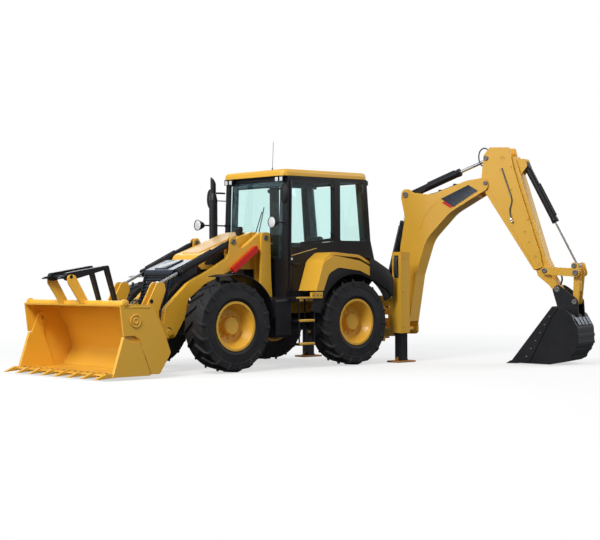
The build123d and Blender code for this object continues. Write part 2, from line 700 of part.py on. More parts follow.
# ---------------------------------------------------------------- backhoe
def make_rear_frame():
    """Cross frame between the stabiliser casings, with the carriage rails."""
    x, y = stabiliser
    half = stabiliser_side / 2
    inner = half - 22
    casing = block((x - half, x + half), (y - half, y + half), (450, 1700))
    casing -= block((x - inner, x + inner), (y - inner, y + inner), (440, 1670))
    frame = both_sides(casing)
    for low, high in ((400, 520), (860, 1000)):
        beam = block((carriage_face, x + half), (-y + half, y - half), (low, high))
        frame += beam
    for y_low in (-y + half, -rail_out, rail_in, y - half - 60):
        frame += block((x - half, x + half), (y_low, y_low + 60), (520, 860))
    frame += both_sides(block((x + half, rail_rear), (rail_in, rail_out), (rail_low, rail_high)))
    return frame


def make_leg():
    """Left stabiliser leg with its pad."""
    x, y = stabiliser
    half = stabiliser_side / 2 - 27
    leg = block((x - half, x + half), (y - half, y + half), (25, 1300))
    return leg + block((x - 190, x + 190), (y - 120, y + 120), (0, 25))


def make_carriage():
    """Plate on the rear frame with the two kingpost lugs."""
    front = carriage_face - 5
    x, y = kingpost
    plate = block((front - 45, front), (y - 330, y + 330), (300, 1020))
    for low, high in ((330, 390), (600, 650)):
        plate += block((x, front), (y - 110, y + 110), (low, high))
        plate += Pos(x, y, (low + high) / 2) * Cylinder(110, high - low)
    return plate


def make_post():
    """Swing post between the lugs, in the boom's own plane."""
    post = Pos(0, 0, 495) * Cylinder(105, 200)
    post += block((0, 330), (-105, 105), (400, 560))
    ear = [(150, 400), (330, 400), (330, 600, 60), (240, 800, 60), (80, 830, 40), (-40, 830, 60),
           (-40, 710, 20), (150, 710)]
    for low in (-boom_half - 45, boom_half + 5):
        post += side_plate([(150, 400), (540, 400, 60), (540, 580, 60), (150, 630)], low, low + 40)
    post += block((150, 300), (-boom_half - 45, boom_half + 45), (400, 440))
    for low in (-105, 75):
        post += side_plate(ear, low, low + 30)
    post += cross_pin(boom_ram_base, -105, 105, pin_radius)
    post += cross_pin(boom_foot, -boom_half - 45, boom_half + 45, 35)
    return post


def make_boom():
    profile = [(400, 490, 70), (430, 1300, 900), (400, 1750, 600), (490, 2250, 300), (425, 2560, 60),
               (440, 2700, 70), (560, 2700, 60), (640, 2640, 100), (950, 2600, 400), (1560, 2800, 300),
               (1900, 2840, 90), (1900, 2660, 80), (1260, 2310, 600), (860, 1900, 500),
               (680, 1350, 400), (560, 600), (540, 420, 70), (410, 420, 70)]
    boom = side_plate(profile, -boom_half, boom_half)
    inner = [(300, 620), (300, 2900),
             (900, 2900), (1000, 2590, 200), (1560, 2740, 300), (1680, 2900), (2000, 2900), (2000, 2400),
             (1690, 2400), (1690, 2610), (1260, 2370, 500), (830, 1960, 400), (640, 1380, 300),
             (560, 900), (560, 300), (300, 300)]
    boom -= side_plate(inner, -boom_half + 25, boom_half - 25)
    boom -= cross_pin(boom_foot, -boom_half, boom_half, 36)
    for low, high in ((-boom_half, -37), (37, boom_half)):
        boom += cross_pin(hump_pin, low, high, pin_radius)
    return boom


def stick_point(down, out):
    """Place on the boom's plane from (down the stick, out from it)."""
    lean = radians(stick_tilt)
    return (boom_tip[0] + down * sin(lean) + out * cos(lean),
            boom_tip[1] - down * cos(lean) + out * sin(lean))


def stick_plate(points, y_low, y_high):
    return side_plate([stick_point(p[0], p[1]) + tuple(p[2:]) for p in points], y_low, y_high)


stick_ram_eye = stick_point(-370, 114)
curl_base = stick_point(-89, 650)
lever_pin = stick_point(1569, 500)
curl_eye = stick_point(1640, 965)
lever_tip = stick_point(1745, 950)
bucket_pin = stick_point(1893, 590)
link_tip = stick_point(2148, 790)


def make_stick():
    profile = [(-430, 90, 60), (-510, 222, 30), (-400, 521, 30), (-38, 491), (1307, 499), (1500, 475),
               (1505, 327), (130, -60, 100), (-60, -70, 60)]
    stick = stick_plate(profile, -stick_half, stick_half)
    way = [(-700, 250), (-700, 700), (1700, 700), (1700, 345), (1000, 300), (-200, 280)]
    stick -= stick_plate(way, -stick_half + 25, stick_half - 25)
    stick -= stick_plate([(-600, -100), (-600, 300), (-100, 300), (-100, -100)],
                         -stick_half + 25, stick_half - 25)
    return stick - cross_pin(boom_tip, -stick_half, stick_half, 36)


def make_slider():
    half = stick_half - 32
    profile = [(-250, 350, 20), (-250, 560, 20), (1400, 550, 100), (1500, 570), (1650, 560, 60),
               (1965, 640, 40), (1960, 540, 40), (1800, 480, 60), (1600, 350)]
    slider = stick_plate(profile, -half, half)
    for low in (-85, 60):
        slider += stick_plate([(-200, 550), (-160, 690, 40), (-40, 690, 40), (60, 550)], low, low + 25)
    slider += cross_pin(curl_base, -85, 85, pin_radius)
    slider += cross_pin(lever_pin, -half - 80, half + 80, pin_radius)
    return slider + cross_pin(bucket_pin, -half - 45, half + 45, 32)


def make_lever():
    lever = None
    half = stick_half - 32
    for low in (-half - 80, half + 50):
        plate = link_bar(lever_pin, lever_tip, 55, 60, low, low + 30)
        plate += link_bar(lever_tip, curl_eye, 60, 50, low, low + 30)
        plate -= cross_pin(lever_pin, low - 5, low + 35, pin_radius + 1)
        lever = plate if lever is None else lever + plate
    for low, high in ((-half - 80, -60), (60, half + 80)):
        lever += cross_pin(lever_tip, low, high, pin_radius)
    return lever


def make_link():
    link = None
    for low in (-95, 65):
        plate = link_bar(lever_tip, link_tip, 55, 42, low, low + 30)
        link = plate if link is None else link + plate
    link += link_bar(along(lever_tip, link_tip, 150), along(lever_tip, link_tip, 260), 40, 40, -66, 66)
    return link - cross_pin(lever_tip, -100, 100, pin_radius + 1)


dig_teeth = 5
strip_height = 10           # of the wear strips on the dig bucket's back


def make_dig_bucket():
    wall = 22
    outer = [(2332, 20), (2960, 4, 60), (3240, 60, 160), (3400, 300, 200), (3390, 560, 150),
             (3290, 740, 60), (3170, 835, 40), (3000, 870, 20)]
    inner = [(2300, 50), (2950, 28, 50), (3215, 90, 140), (3372, 310, 180), (3362, 545, 130),
             (3270, 720, 50), (3160, 808, 30), (2900, 855)]
    shell = side_plate(outer, -dig_half, dig_half)
    shell -= side_plate(inner, -dig_half + wall, dig_half - wall)
    half = stick_half - 32
    for low in (-half - 45, half + 10):
        ear = [(3000, 862), (2925, 1110, 40), (2995, 1192, 40), (3083, 1142, 40), (3313, 963, 40),
               (3330, 700), (3170, 825)]
        plate = side_plate(ear, low, low + 35) - side_plate(inner, low - 5, low + 40)
        shell += plate - cross_pin(bucket_pin, low - 5, low + 40, 33)
    swollen = extrude(Plane.XZ.offset(-dig_half) * offset(outline(outer), strip_height), 2 * dig_half)
    rim_of_back = swollen - side_plate(outer, -dig_half - 5, dig_half + 5)
    for low, high in ((80, 125), (190, 235), (300, 345), (410, 455)):
        shell += rim_of_back & block((3150, 3450), (-dig_half, dig_half), (low, high))
    cutter = [(2500, 25), (2960, 800), (3010, 862), (3090, 842), (2990, 700), (2640, 25)]
    for low in (-dig_half - 12, dig_half):
        shell += side_plate(cutter, low, low + 12)
    pitch = 2 * (dig_half - 40) / (dig_teeth - 1)
    for tooth in range(dig_teeth):
        y = -dig_half + 40 + tooth * pitch
        shell += side_plate([(2450, 10), (2260, 6), (2330, 50), (2450, 60)], y - 28, y + 28)
    return shell


boom_ram = ram(boom_ram_base, hump_pin, 1480, 52, 215, 0, (140, 56))
stick_ram = ram(hump_pin, stick_ram_eye, 935, 46, 365, 0, (116, 90), neck=270, fork=68)
curl_ram = ram(curl_base, curl_eye, 1010, 40, 412, 0, (110, 110))
swinging = {
    "swing_post": make_post(),
    "boom": make_boom(),
    "boom_barrel": boom_ram[0],
    "boom_rod": boom_ram[1],
    "stick": make_stick(),
    "stick_barrel": stick_ram[0],
    "stick_rod": stick_ram[1],
    "stick_slider": make_slider(),
    "curl_barrel": curl_ram[0],
    "curl_rod": curl_ram[1],
    "lever": make_lever(),
    "link": make_link(),
    "dig_bucket": make_dig_bucket(),
}
for name, solid in swinging.items():
    keep(name, swing_place * solid)

leg = make_leg()
keep("rear_frame", make_rear_frame())
keep("stabiliser_leg_left", leg)
keep("stabiliser_leg_right", mirror(leg, about=Plane.XZ))
keep("carriage", make_carriage())

os.makedirs("parts", exist_ok=True)
for name, shape in parts.items():
    export_step(shape, f"parts/{name}.step")
    print(name, round(shape.volume / 1e6, 2))
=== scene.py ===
import json
import math

import bpy
from mathutils import Matrix, Vector


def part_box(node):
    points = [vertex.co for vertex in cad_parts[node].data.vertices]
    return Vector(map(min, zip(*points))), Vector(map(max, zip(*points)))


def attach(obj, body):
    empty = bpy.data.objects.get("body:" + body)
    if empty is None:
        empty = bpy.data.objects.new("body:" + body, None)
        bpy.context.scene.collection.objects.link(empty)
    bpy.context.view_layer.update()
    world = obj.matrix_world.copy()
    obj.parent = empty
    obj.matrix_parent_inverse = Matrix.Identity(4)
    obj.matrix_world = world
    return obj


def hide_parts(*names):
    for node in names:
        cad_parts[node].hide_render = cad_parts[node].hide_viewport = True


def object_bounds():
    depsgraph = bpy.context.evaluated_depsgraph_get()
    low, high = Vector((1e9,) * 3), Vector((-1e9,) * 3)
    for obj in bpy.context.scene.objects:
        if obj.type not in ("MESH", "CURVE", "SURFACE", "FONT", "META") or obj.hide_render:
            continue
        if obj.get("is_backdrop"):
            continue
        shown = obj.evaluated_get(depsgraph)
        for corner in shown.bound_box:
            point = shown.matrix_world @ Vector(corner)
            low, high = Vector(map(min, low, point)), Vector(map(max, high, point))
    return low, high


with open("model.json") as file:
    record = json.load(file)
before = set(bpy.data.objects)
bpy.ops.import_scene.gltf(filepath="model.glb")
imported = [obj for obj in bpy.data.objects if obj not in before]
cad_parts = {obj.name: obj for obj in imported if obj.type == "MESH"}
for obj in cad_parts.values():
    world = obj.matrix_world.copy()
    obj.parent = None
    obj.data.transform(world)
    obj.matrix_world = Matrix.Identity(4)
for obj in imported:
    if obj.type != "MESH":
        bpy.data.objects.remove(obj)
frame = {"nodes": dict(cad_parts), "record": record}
nodes = frame["nodes"]
cadLow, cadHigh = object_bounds()
print("frame loaded,", len(nodes), "nodes")


# node trees
def feed(tree, node, given):
    # each input takes a number, a colour or another node's output
    for label, value in given.items():
        if isinstance(value, bpy.types.NodeSocket):
            tree.links.new(value, node.inputs[label])
        else:
            node.inputs[label].default_value = value
    return node


def addNode(tree, kind, given=None, **fields):
    node = tree.nodes.new("ShaderNode" + kind)
    for label, value in fields.items():
        setattr(node, label, value)
    return feed(tree, node, given or {})


def newMaterial(name):
    mat = bpy.data.materials.new(name)
    mat.use_nodes = True
    return mat, mat.node_tree


def mapRange(tree, value, low, high, start=0.0, end=1.0):
    node = addNode(tree, "MapRange", {"Value": value, "From Min": start, "From Max": end,
                                      "To Min": low, "To Max": high})
    return node.outputs["Result"]


# studio, camera and light
view = {
    "place": (14.662, 16.294, 1.357),
    "heading": -131.746,  # degrees from +X
    "rise": 0.187,
    "roll": -0.288,
    "lens": 84.72,
    "sensor": 36.0,
}


def makeCamera():
    heading, rise = math.radians(view["heading"]), math.radians(view["rise"])
    look = Vector((math.cos(rise) * math.cos(heading), math.cos(rise) * math.sin(heading), math.sin(rise)))
    right = look.cross(Vector((0, 0, 1))).normalized()
    up = right.cross(look)
    roll = math.radians(view["roll"])
    side = right * math.cos(roll) + up * math.sin(roll)
    top = up * math.cos(roll) - right * math.sin(roll)
    turn = Matrix((side, top, -look)).transposed().to_4x4()
    data = bpy.data.cameras.new("camera")
    data.lens, data.sensor_width = view["lens"], view["sensor"]
    data.clip_end = 200
    cam = bpy.data.objects.new("camera", data)
    bpy.context.scene.collection.objects.link(cam)
    cam.matrix_world = Matrix.Translation(view["place"]) @ turn
    bpy.context.scene.camera = cam


lights = {
    # name: place, size, power, colour
    "keyLight": ((11.0, 4.2, 9.0), 4.0, 1150, (1.0, 0.97, 0.92)),
    "fillLight": ((12.0, -3.0, 5.0), 6.0, 380, (0.94, 0.97, 1.0)),
    "backLight": ((-9.0, 6.0, 6.0), 6.0, 420, (1.0, 1.0, 1.0)),
    "farLight": ((-3.0, -10.0, 6.0), 6.0, 260, (0.96, 0.98, 1.0)),
}


def makeLights():
    middle = (cadLow + cadHigh) / 2
    for name, (place, size, power, colour) in lights.items():
        data = bpy.data.lights.new(name, "AREA")
        data.size, data.energy, data.color = size, power, colour
        lamp = bpy.data.objects.new(name, data)
        bpy.context.scene.collection.objects.link(lamp)
        lamp.location = place
        lamp.rotation_euler = (middle - Vector(place)).to_track_quat("-Z", "Y").to_euler()


# heights on the dome between which it brightens, and its strength below and above them
dome = {"tint": (0.92, 0.95, 1.0, 1), "heights": (-0.35, 0.25), "strengths": (0.07, 0.46)}


def makeWorld():
    world = bpy.data.worlds.new("skyDome")
    bpy.context.scene.world = world
    world.use_nodes = True
    tree = world.node_tree
    tree.nodes.clear()
    # the dome's lower half is dim, so that undersides stay dark
    split = addNode(tree, "SeparateXYZ", {0: addNode(tree, "TexCoord").outputs["Generated"]})
    strength = mapRange(tree, split.outputs["Z"], *dome["strengths"], *dome["heights"])
    soft = addNode(tree, "Background", {"Color": dome["tint"], "Strength": strength})
    # straight to the camera, and through glass, it is plain white
    white = addNode(tree, "Background", {"Color": (1, 1, 1, 1), "Strength": 1.0})
    rays = addNode(tree, "LightPath").outputs
    seen = addNode(tree, "Math", {0: rays["Is Camera Ray"], 1: rays["Is Transmission Ray"]},
                   operation="MAXIMUM")
    mix = addNode(tree, "MixShader", {"Fac": seen.outputs[0], 1: soft.outputs[0], 2: white.outputs[0]})
    addNode(tree, "OutputWorld", {"Surface": mix.outputs[0]})


# distances over which the floor turns from matte to plain white, and the white's share there
floorFade = {
    "size": 160, "drop": 0.002, "matte": (0.95, 0.95, 0.95, 1), "shares": (0.62, 1.0), "reach": (5.0, 11.0),
}


def makeFloor():
    # takes the machine's soft shadow near it, and fades to plain white further out
    bpy.ops.mesh.primitive_plane_add(size=floorFade["size"], location=(0, 0, cadLow.z - floorFade["drop"]))
    floor = bpy.context.object
    floor.name = "studioFloor"
    mat, tree = newMaterial("floorWhite")
    tree.nodes.clear()
    length = addNode(tree, "VectorMath", {0: addNode(tree, "TexCoord").outputs["Object"]}, operation="LENGTH")
    fade = mapRange(tree, length.outputs["Value"], *floorFade["shares"], *floorFade["reach"])
    matte = addNode(tree, "BsdfDiffuse", {"Color": floorFade["matte"]})
    glow = addNode(tree, "Emission", {"Color": (1, 1, 1, 1)})
    mix = addNode(tree, "MixShader", {"Fac": fade, 1: matte.outputs[0], 2: glow.outputs[0]})
    addNode(tree, "OutputMaterial", {"Surface": mix.outputs[0]})
    floor.data.materials.append(mat)
    floor.visible_diffuse = floor.visible_glossy = False
    floor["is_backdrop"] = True


makeCamera()
makeLights()
makeWorld()
makeFloor()
bpy.context.scene.view_settings.view_transform = "Standard"
print("studio ready")


# shared effects, each one node group that the finishes place with their own values
def newGroup(name, numbers, results):
    group = bpy.data.node_groups.new(name, "ShaderNodeTree")
    for label, value in numbers.items():
        socket = group.interface.new_socket(label, in_out="INPUT", socket_type="NodeSocketFloat")
        socket.default_value = value
    for label in results:
        kind = "NodeSocketVector" if label == "Normal" else "NodeSocketFloat"
        group.interface.new_socket(label, in_out="OUTPUT", socket_type=kind)
    return group, group.nodes.new("NodeGroupInput").outputs, group.nodes.new("NodeGroupOutput")


def mathNode(group, kind, a, b, clamp=False):
    return addNode(group, "Math", {0: a, 1: b}, operation=kind, use_clamp=clamp).outputs[0]


def noiseNode(group, scale, detail, rough=0.55):
    vector = addNode(group, "TexCoord").outputs["Object"]
    return addNode(group, "TexNoise", {"Detail": detail, "Roughness": rough, "Scale": scale,
                                       "Vector": vector}).outputs["Fac"]


def ramp(group, value, start, slope):
    # nothing up to the start, then rising to one
    return mathNode(group, "MULTIPLY", mathNode(group, "SUBTRACT", value, start), slope, True)


def makeEdgeWearAndHighlight():
    # where rounded edges catch wear and a painted highlight: the bevelled normal leaves the flat one
    group, given, out = newGroup("edgeWearAndHighlight", {"Radius": 0.006, "Amount": 1.0, "Patch": 9.0},
                                 ["Mask", "Normal"])
    bevel = addNode(group, "Bevel", {"Radius": given["Radius"]}, samples=4).outputs["Normal"]
    flat = addNode(group, "NewGeometry").outputs["True Normal"]
    dot = addNode(group, "VectorMath", {0: bevel, 1: flat}, operation="DOT_PRODUCT")
    edge = mathNode(group, "MULTIPLY", mathNode(group, "SUBTRACT", 1.0, dot.outputs["Value"]), 9.0, True)
    broken = ramp(group, noiseNode(group, given["Patch"], 5, 0.7), 0.42, 5.0)
    mask = mathNode(group, "MULTIPLY", mathNode(group, "MULTIPLY", edge, broken), given["Amount"], True)
    feed(group, out, {"Mask": mask, "Normal": bevel})
    return group


def makeDust():
    # film that lies on top faces and thickens towards the ground
    group, given, out = newGroup("dustFilm", {"Low": 1.4, "Reach": 1.6, "Amount": 0.5, "Patch": 3.0},
                                 ["Mask"])
    place = addNode(group, "SeparateXYZ", {0: addNode(group, "TexCoord").outputs["Object"]})
    depth = mathNode(group, "SUBTRACT", given["Low"], place.outputs["Z"])
    height = mathNode(group, "DIVIDE", depth, given["Reach"], True)
    up = addNode(group, "SeparateXYZ", {0: addNode(group, "NewGeometry").outputs["Normal"]})
    top = mathNode(group, "MULTIPLY", up.outputs["Z"], 0.35, True)
    cloud = ramp(group, noiseNode(group, given["Patch"], 6, 0.65), 0.35, 2.2)
    total = mathNode(group, "MULTIPLY", mathNode(group, "ADD", height, top), cloud)
    feed(group, out, {"Mask": mathNode(group, "MULTIPLY", total, given["Amount"], True)})
    return group


def makeGrain():
    # slow cloud of tone and a fine grain of height
    group, given, out = newGroup("surfaceGrain", {"Cloud": 1.5, "Grain": 220.0, "Depth": 1.0},
                                 ["Tone", "Height"])
    fine = mathNode(group, "MULTIPLY", noiseNode(group, given["Grain"], 3), given["Depth"])
    feed(group, out, {"Tone": noiseNode(group, given["Cloud"], 4), "Height": fine})
    return group


edgeWearAndHighlight, dustFilm, surfaceGrain = makeEdgeWearAndHighlight(), makeDust(), makeGrain()


def mixColour(tree, fac, a, b):
    # sockets 6 and 7 take the two colours, and output 2 gives their mix
    a, b = ((*tone, 1) if isinstance(tone, tuple) else tone for tone in (a, b))
    return addNode(tree, "Mix", {"Factor": fac, 6: a, 7: b}, data_type="RGBA").outputs[2]


# clean colour, its cloud, worn edges lightened as wear and painted highlight, dust, roughness low and high,
# clear coat, then how much edge wear and painted highlight, film of dust and shine
looks = ("base", "cloud", "edge", "dust", "rough", "coat", "wornAndLitEdge", "film", "shine")
finishes = {
    "yellowPaint": ((0.8, 0.425, 0.028), (0.88, 0.49, 0.045), (0.95, 0.7, 0.26), (0.6, 0.46, 0.28),
                    (0.3, 0.42), 0.25, 0.5, 0.16, 0.5),
    "blackPaint": ((0.006, 0.0065, 0.009), (0.013, 0.014, 0.019), (0.1, 0.11, 0.13), (0.1, 0.09, 0.08),
                   (0.34, 0.5), 0.05, 0.4, 0.16, 0.28),
    # dark paint tinted blue: the blue is a painted reflection of the sky
    "paintedSkyBluePost": ((0.022, 0.04, 0.058), (0.036, 0.06, 0.082), (0.12, 0.17, 0.21), (0.12, 0.13, 0.14),
                (0.4, 0.55), 0.0, 0.4, 0.1, 0.3),
    "bluePanel": ((0.005, 0.01, 0.024), (0.01, 0.02, 0.042), (0.08, 0.12, 0.2), (0.12, 0.13, 0.15),
                  (0.2, 0.34), 0.3, 0.35, 0.1, 0.4),
    "redPaint": ((0.58, 0.01, 0.008), (0.68, 0.022, 0.014), (0.8, 0.2, 0.12), (0.4, 0.2, 0.15), (0.36, 0.5),
                 0.05, 0.4, 0.1, 0.3),
    "tyreRubber": ((0.0075, 0.008, 0.01), (0.02, 0.021, 0.025), (0.085, 0.088, 0.095), (0.075, 0.068, 0.06),
                   (0.55, 0.75), 0.0, 0.75, 0.4, 0.3),
    "moulding": ((0.009, 0.009, 0.011), (0.018, 0.018, 0.021), (0.06, 0.06, 0.065), (0.1, 0.09, 0.08),
                 (0.48, 0.66), 0.0, 0.35, 0.14, 0.28),
    "greyIron": ((0.13, 0.13, 0.13), (0.2, 0.19, 0.18), (0.4, 0.4, 0.4), (0.24, 0.2, 0.16), (0.4, 0.6), 0.0,
                 0.6, 0.3, 0.5),
    "seatCloth": ((0.01, 0.014, 0.015), (0.022, 0.028, 0.03), (0.05, 0.055, 0.06), (0.07, 0.07, 0.07),
                  (0.72, 0.9), 0.0, 0.3, 0.1, 0.2),
    "goldStripe": ((0.62, 0.4, 0.1), (0.74, 0.5, 0.16), (0.9, 0.75, 0.4), (0.4, 0.33, 0.22), (0.3, 0.42), 0.0,
                 0.4, 0.1, 0.5),
    "hoseGrey": ((0.035, 0.038, 0.042), (0.07, 0.075, 0.08), (0.2, 0.2, 0.21), (0.15, 0.14, 0.12),
                 (0.4, 0.55), 0.0, 0.4, 0.2, 0.45),
    # pale tan for the hood's crown: a painted highlight where light falls on the hood top
    "hoodPaintedHighlight": ((0.66, 0.42, 0.16), (0.74, 0.5, 0.22), (0.85, 0.68, 0.4), (0.55, 0.45, 0.32), (0.4, 0.55),
                0.1, 0.4, 0.3, 0.4),
    "padRust": ((0.42, 0.16, 0.035), (0.62, 0.27, 0.05), (0.5, 0.38, 0.26), (0.3, 0.2, 0.12), (0.5, 0.72),
                0.0, 0.8, 0.35, 0.3),
    "wornSteel": ((0.05, 0.055, 0.07), (0.16, 0.18, 0.22), (0.6, 0.6, 0.6), (0.2, 0.18, 0.16), (0.3, 0.5),
                  0.0, 0.8, 0.2, 0.5),
}
metals = {"greyIron": 0.6, "wornSteel": 0.8}
materials = {}


def makeFinish(name):
    look = dict(zip(looks, finishes[name]))
    materials[name], tree = newMaterial(name)
    wornAndLitEdge = addNode(tree, "Group", node_tree=edgeWearAndHighlight)
    film = addNode(tree, "Group", node_tree=dustFilm)
    wornAndLitEdge.inputs["Amount"].default_value, film.inputs["Amount"].default_value = look["wornAndLitEdge"], look["film"]
    grain = addNode(tree, "Group", node_tree=surfaceGrain).outputs
    colour = mixColour(tree, grain["Tone"], look["base"], look["cloud"])
    # rounded edges turn lighter: part wear, part painted highlight
    colour = mixColour(tree, wornAndLitEdge.outputs["Mask"], colour, look["edge"])
    colour = mixColour(tree, film.outputs["Mask"], colour, look["dust"])
    bump = addNode(tree, "Bump", {"Strength": 0.12 if look["coat"] else 0.3, "Distance": 0.002,
                                  "Height": grain["Height"], "Normal": wornAndLitEdge.outputs["Normal"]})
    feed(tree, tree.nodes["Principled BSDF"], {
        "Base Color": colour, "Roughness": mapRange(tree, grain["Tone"], *look["rough"]),
        "Normal": bump.outputs["Normal"], "Metallic": metals.get(name, 0.0), "Coat Weight": look["coat"],
        "Specular IOR Level": look["shine"], "Coat Roughness": 0.12})


clearLooks = {
    # cloud, its two tones, roughness low and high, then the shader's own values
    "chromeRod": (14.0, (0.6, 0.62, 0.65), (0.82, 0.83, 0.85), (0.1, 0.24), {"Metallic": 1.0}),
    # thin tinted pane with a pale cyan cast
    "tintedGlass": (0.8, (0.76, 0.94, 0.92), (0.82, 0.96, 0.94), (0.0, 0.02),
                    {"Transmission Weight": 1.0, "IOR": 1.33}),
}


def makeClear(name):
    cloud, low, high, rough, rest = clearLooks[name]
    materials[name], tree = newMaterial(name)
    tone = addNode(tree, "Group", node_tree=surfaceGrain)
    tone.inputs["Cloud"].default_value = cloud
    tone = tone.outputs["Tone"]
    feed(tree, tree.nodes["Principled BSDF"], {"Base Color": mixColour(tree, tone, low, high),
                                               "Roughness": mapRange(tree, tone, *rough), **rest})


lens = {"cells": 70, "tones": ((0.86, 0.88, 0.9), (0.55, 0.58, 0.62)), "relief": 0.003}


def makeLens():
    # small cells pressed into clear lamp glass
    materials["lampLens"], tree = newMaterial("lampLens")
    coord = addNode(tree, "TexCoord").outputs["Object"]
    cells = addNode(tree, "TexVoronoi", {"Scale": lens["cells"], "Vector": coord}).outputs["Distance"]
    bump = addNode(tree, "Bump", {"Strength": 0.5, "Distance": lens["relief"], "Height": cells})
    feed(tree, tree.nodes["Principled BSDF"], {
        "Base Color": mixColour(tree, cells, *lens["tones"]), "Normal": bump.outputs["Normal"],
        "Roughness": 0.12, "Coat Weight": 0.8})


for name in finishes:
    makeFinish(name)
for name in clearLooks:
    makeClear(name)
makeLens()
slotFinish = {
    "yellow_paint": "yellowPaint", "black_paint": "blackPaint", "tyre_rubber": "tyreRubber",
    "glass": "tintedGlass", "chrome": "chromeRod", "black_plastic": "moulding", "red_paint": "redPaint",
    "grey_iron": "greyIron", "lamp_glass": "lampLens",
}
nodeFinish = {"nose": "bluePanel", "grille": "moulding", "cab_frame": "blackPaint"}
for row in frame["record"]["subparts"]:
    name = row["node"]
    mesh = nodes[name].data
    mesh.materials.clear()
    mesh.materials.append(materials[nodeFinish.get(name, slotFinish[row["material_slot"]])])
print("finishes on the frame")


# hand tools
def pick(*pieces):
    # leaves only these pieces selected, in object mode, with the first of them active
    if bpy.context.object and bpy.context.object.mode != "OBJECT":
        bpy.ops.object.mode_set(mode="OBJECT")
    bpy.ops.object.select_all(action="DESELECT")
    for piece in pieces:
        piece.select_set(True)
        bpy.context.view_layer.objects.active = pieces[0]


def settle(name, edits=()):
    # names the new primitive, moves its place and size into its mesh, and edits it
    piece = bpy.context.object
    piece.name = name
    bpy.ops.object.transform_apply(location=True, rotation=True, scale=True)
    for test, *steps in edits:
        edit(piece, test, *steps)
    return piece


def startBlock(name, low, high, *edits):
    pick()
    low, high = Vector(low), Vector(high)
    bpy.ops.mesh.primitive_cube_add(size=1, location=(low + high) / 2)
    bpy.context.object.scale = high - low
    return settle(name, edits)


def startRod(name, start, end, radius, sides=24, *edits):
    pick()
    start, end = Vector(start), Vector(end)
    run = end - start
    bpy.ops.mesh.primitive_cylinder_add(vertices=sides, radius=radius, depth=run.length,
                                        location=(start + end) / 2,
                                        rotation=run.to_track_quat("Z", "Y").to_euler())
    return settle(name, edits)


def edit(piece, test, *steps):
    # selects the faces whose middle and normal pass the test, then runs each step on them
    pick(piece)
    bpy.ops.object.mode_set(mode="EDIT")
    bpy.ops.mesh.select_mode(type="FACE")
    bpy.ops.mesh.select_all(action="DESELECT")
    bpy.ops.object.mode_set(mode="OBJECT")
    for face in piece.data.polygons:
        face.select = test(face.center, face.normal)
    bpy.ops.object.mode_set(mode="EDIT")
    for step in steps:
        step()
    bpy.ops.object.mode_set(mode="OBJECT")
    return piece


def facing(axis, sign=1, least=0.9):
    return lambda place, normal: normal[axis] * sign > least


def towards(way):
    return lambda place, normal: normal.dot(way) > 0.9


frontFace, leftFace, topFace = (facing(axis) for axis in range(3))
backFace, rightFace, lowFace = (facing(axis, -1) for axis in range(3))
endFaces = lambda place, normal: abs(normal.x) > 0.9
sideFaces = lambda place, normal: abs(normal.y) > 0.9
flatFaces = lambda place, normal: abs(normal.z) > 0.9
everyFace = lambda place, normal: True


def inset(thickness, depth=0.0):
    return lambda: bpy.ops.mesh.inset(thickness=thickness, depth=depth)


def push(x, y, z):
    return lambda: bpy.ops.mesh.extrude_region_move(TRANSFORM_OT_translate={"value": (x, y, z)})


def slide(x, y, z):
    return lambda: bpy.ops.transform.translate(value=(x, y, z))


def grow(x, y, z):
    return lambda: bpy.ops.transform.resize(value=(x, y, z))


def smooth(piece, angle=40):
    pick(piece)
    bpy.ops.object.shade_smooth_by_angle(angle=math.radians(angle))
    return piece


def soften(piece, width=0.004, segments=2, angle=30):
    pick(piece)
    bevel = piece.modifiers.new("edges", "BEVEL")
    bevel.width, bevel.segments, bevel.limit_method = width, segments, "ANGLE"
    bevel.angle_limit = math.radians(angle)
    bpy.ops.object.modifier_apply(modifier=bevel.name)
    return smooth(piece)


def block(name, low, high, bevel, *edits):
    # a box that is edited, then bevelled: width and segments
    return soften(startBlock(name, low, high, *edits), *bevel)


def rod(name, start, end, radius, sides, bevel, *edits):
    return soften(startRod(name, start, end, radius, sides, *edits), *bevel)


def copyPiece(piece, name, turn):
    # a copy with its own mesh, moved by a matrix
    twin = piece.copy()
    twin.data = piece.data.copy()
    twin.name = name
    bpy.context.scene.collection.objects.link(twin)
    twin.data.transform(turn)
    if turn.determinant() < 0:
        twin.data.flip_normals()
    return twin


def joinPieces(pieces, name):
    pick(*pieces)
    bpy.ops.object.join()
    pieces[0].name = name
    return pieces[0]


def discard(*pieces):
    for piece in pieces:
        bpy.data.objects.remove(piece)


def dress(piece, finish, body):
    piece.data.materials.clear()
    piece.data.materials.append(materials[finish])
    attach(piece, body)
    return piece


mirrorY = Matrix.Scale(-1, 4, (0, 1, 0))


def dressBoth(piece, other, finish, body):
    # a piece on the left and its mirror image on the right, both on one body
    dress(copyPiece(piece, other, mirrorY), finish, body)
    dress(piece, finish, body)


def tube(name, points, radius, finish, body, sides=5):
    # smooth run of hose or bent pipe through its control points
    pick()
    bpy.ops.curve.primitive_nurbs_path_add()
    piece = bpy.context.object
    piece.name = name
    piece.location = (0, 0, 0)
    data = piece.data
    data.splines.clear()
    spline = data.splines.new("NURBS")
    spline.points.add(len(points) - 1)
    for point, place in zip(spline.points, points):
        point.co = (*place, 1)
    spline.order_u = 3
    spline.use_endpoint_u = True
    spline.resolution_u = 8
    data.dimensions = "3D"
    data.bevel_depth, data.bevel_resolution, data.use_fill_caps = radius, sides, True
    bpy.ops.object.convert(target="MESH")
    return dress(smooth(bpy.context.object, 60), finish, body)


# tyres: a bulged carcass with slanted bars, modelled once about the axle line
tyre = {
    "radius": 0.645, "width": 0.41, "barHeight": 0.04, "barsPerSide": 18, "barWidth": 0.046,
    "slant": 0.8, "bead": 0.338, "sides": 96,
}


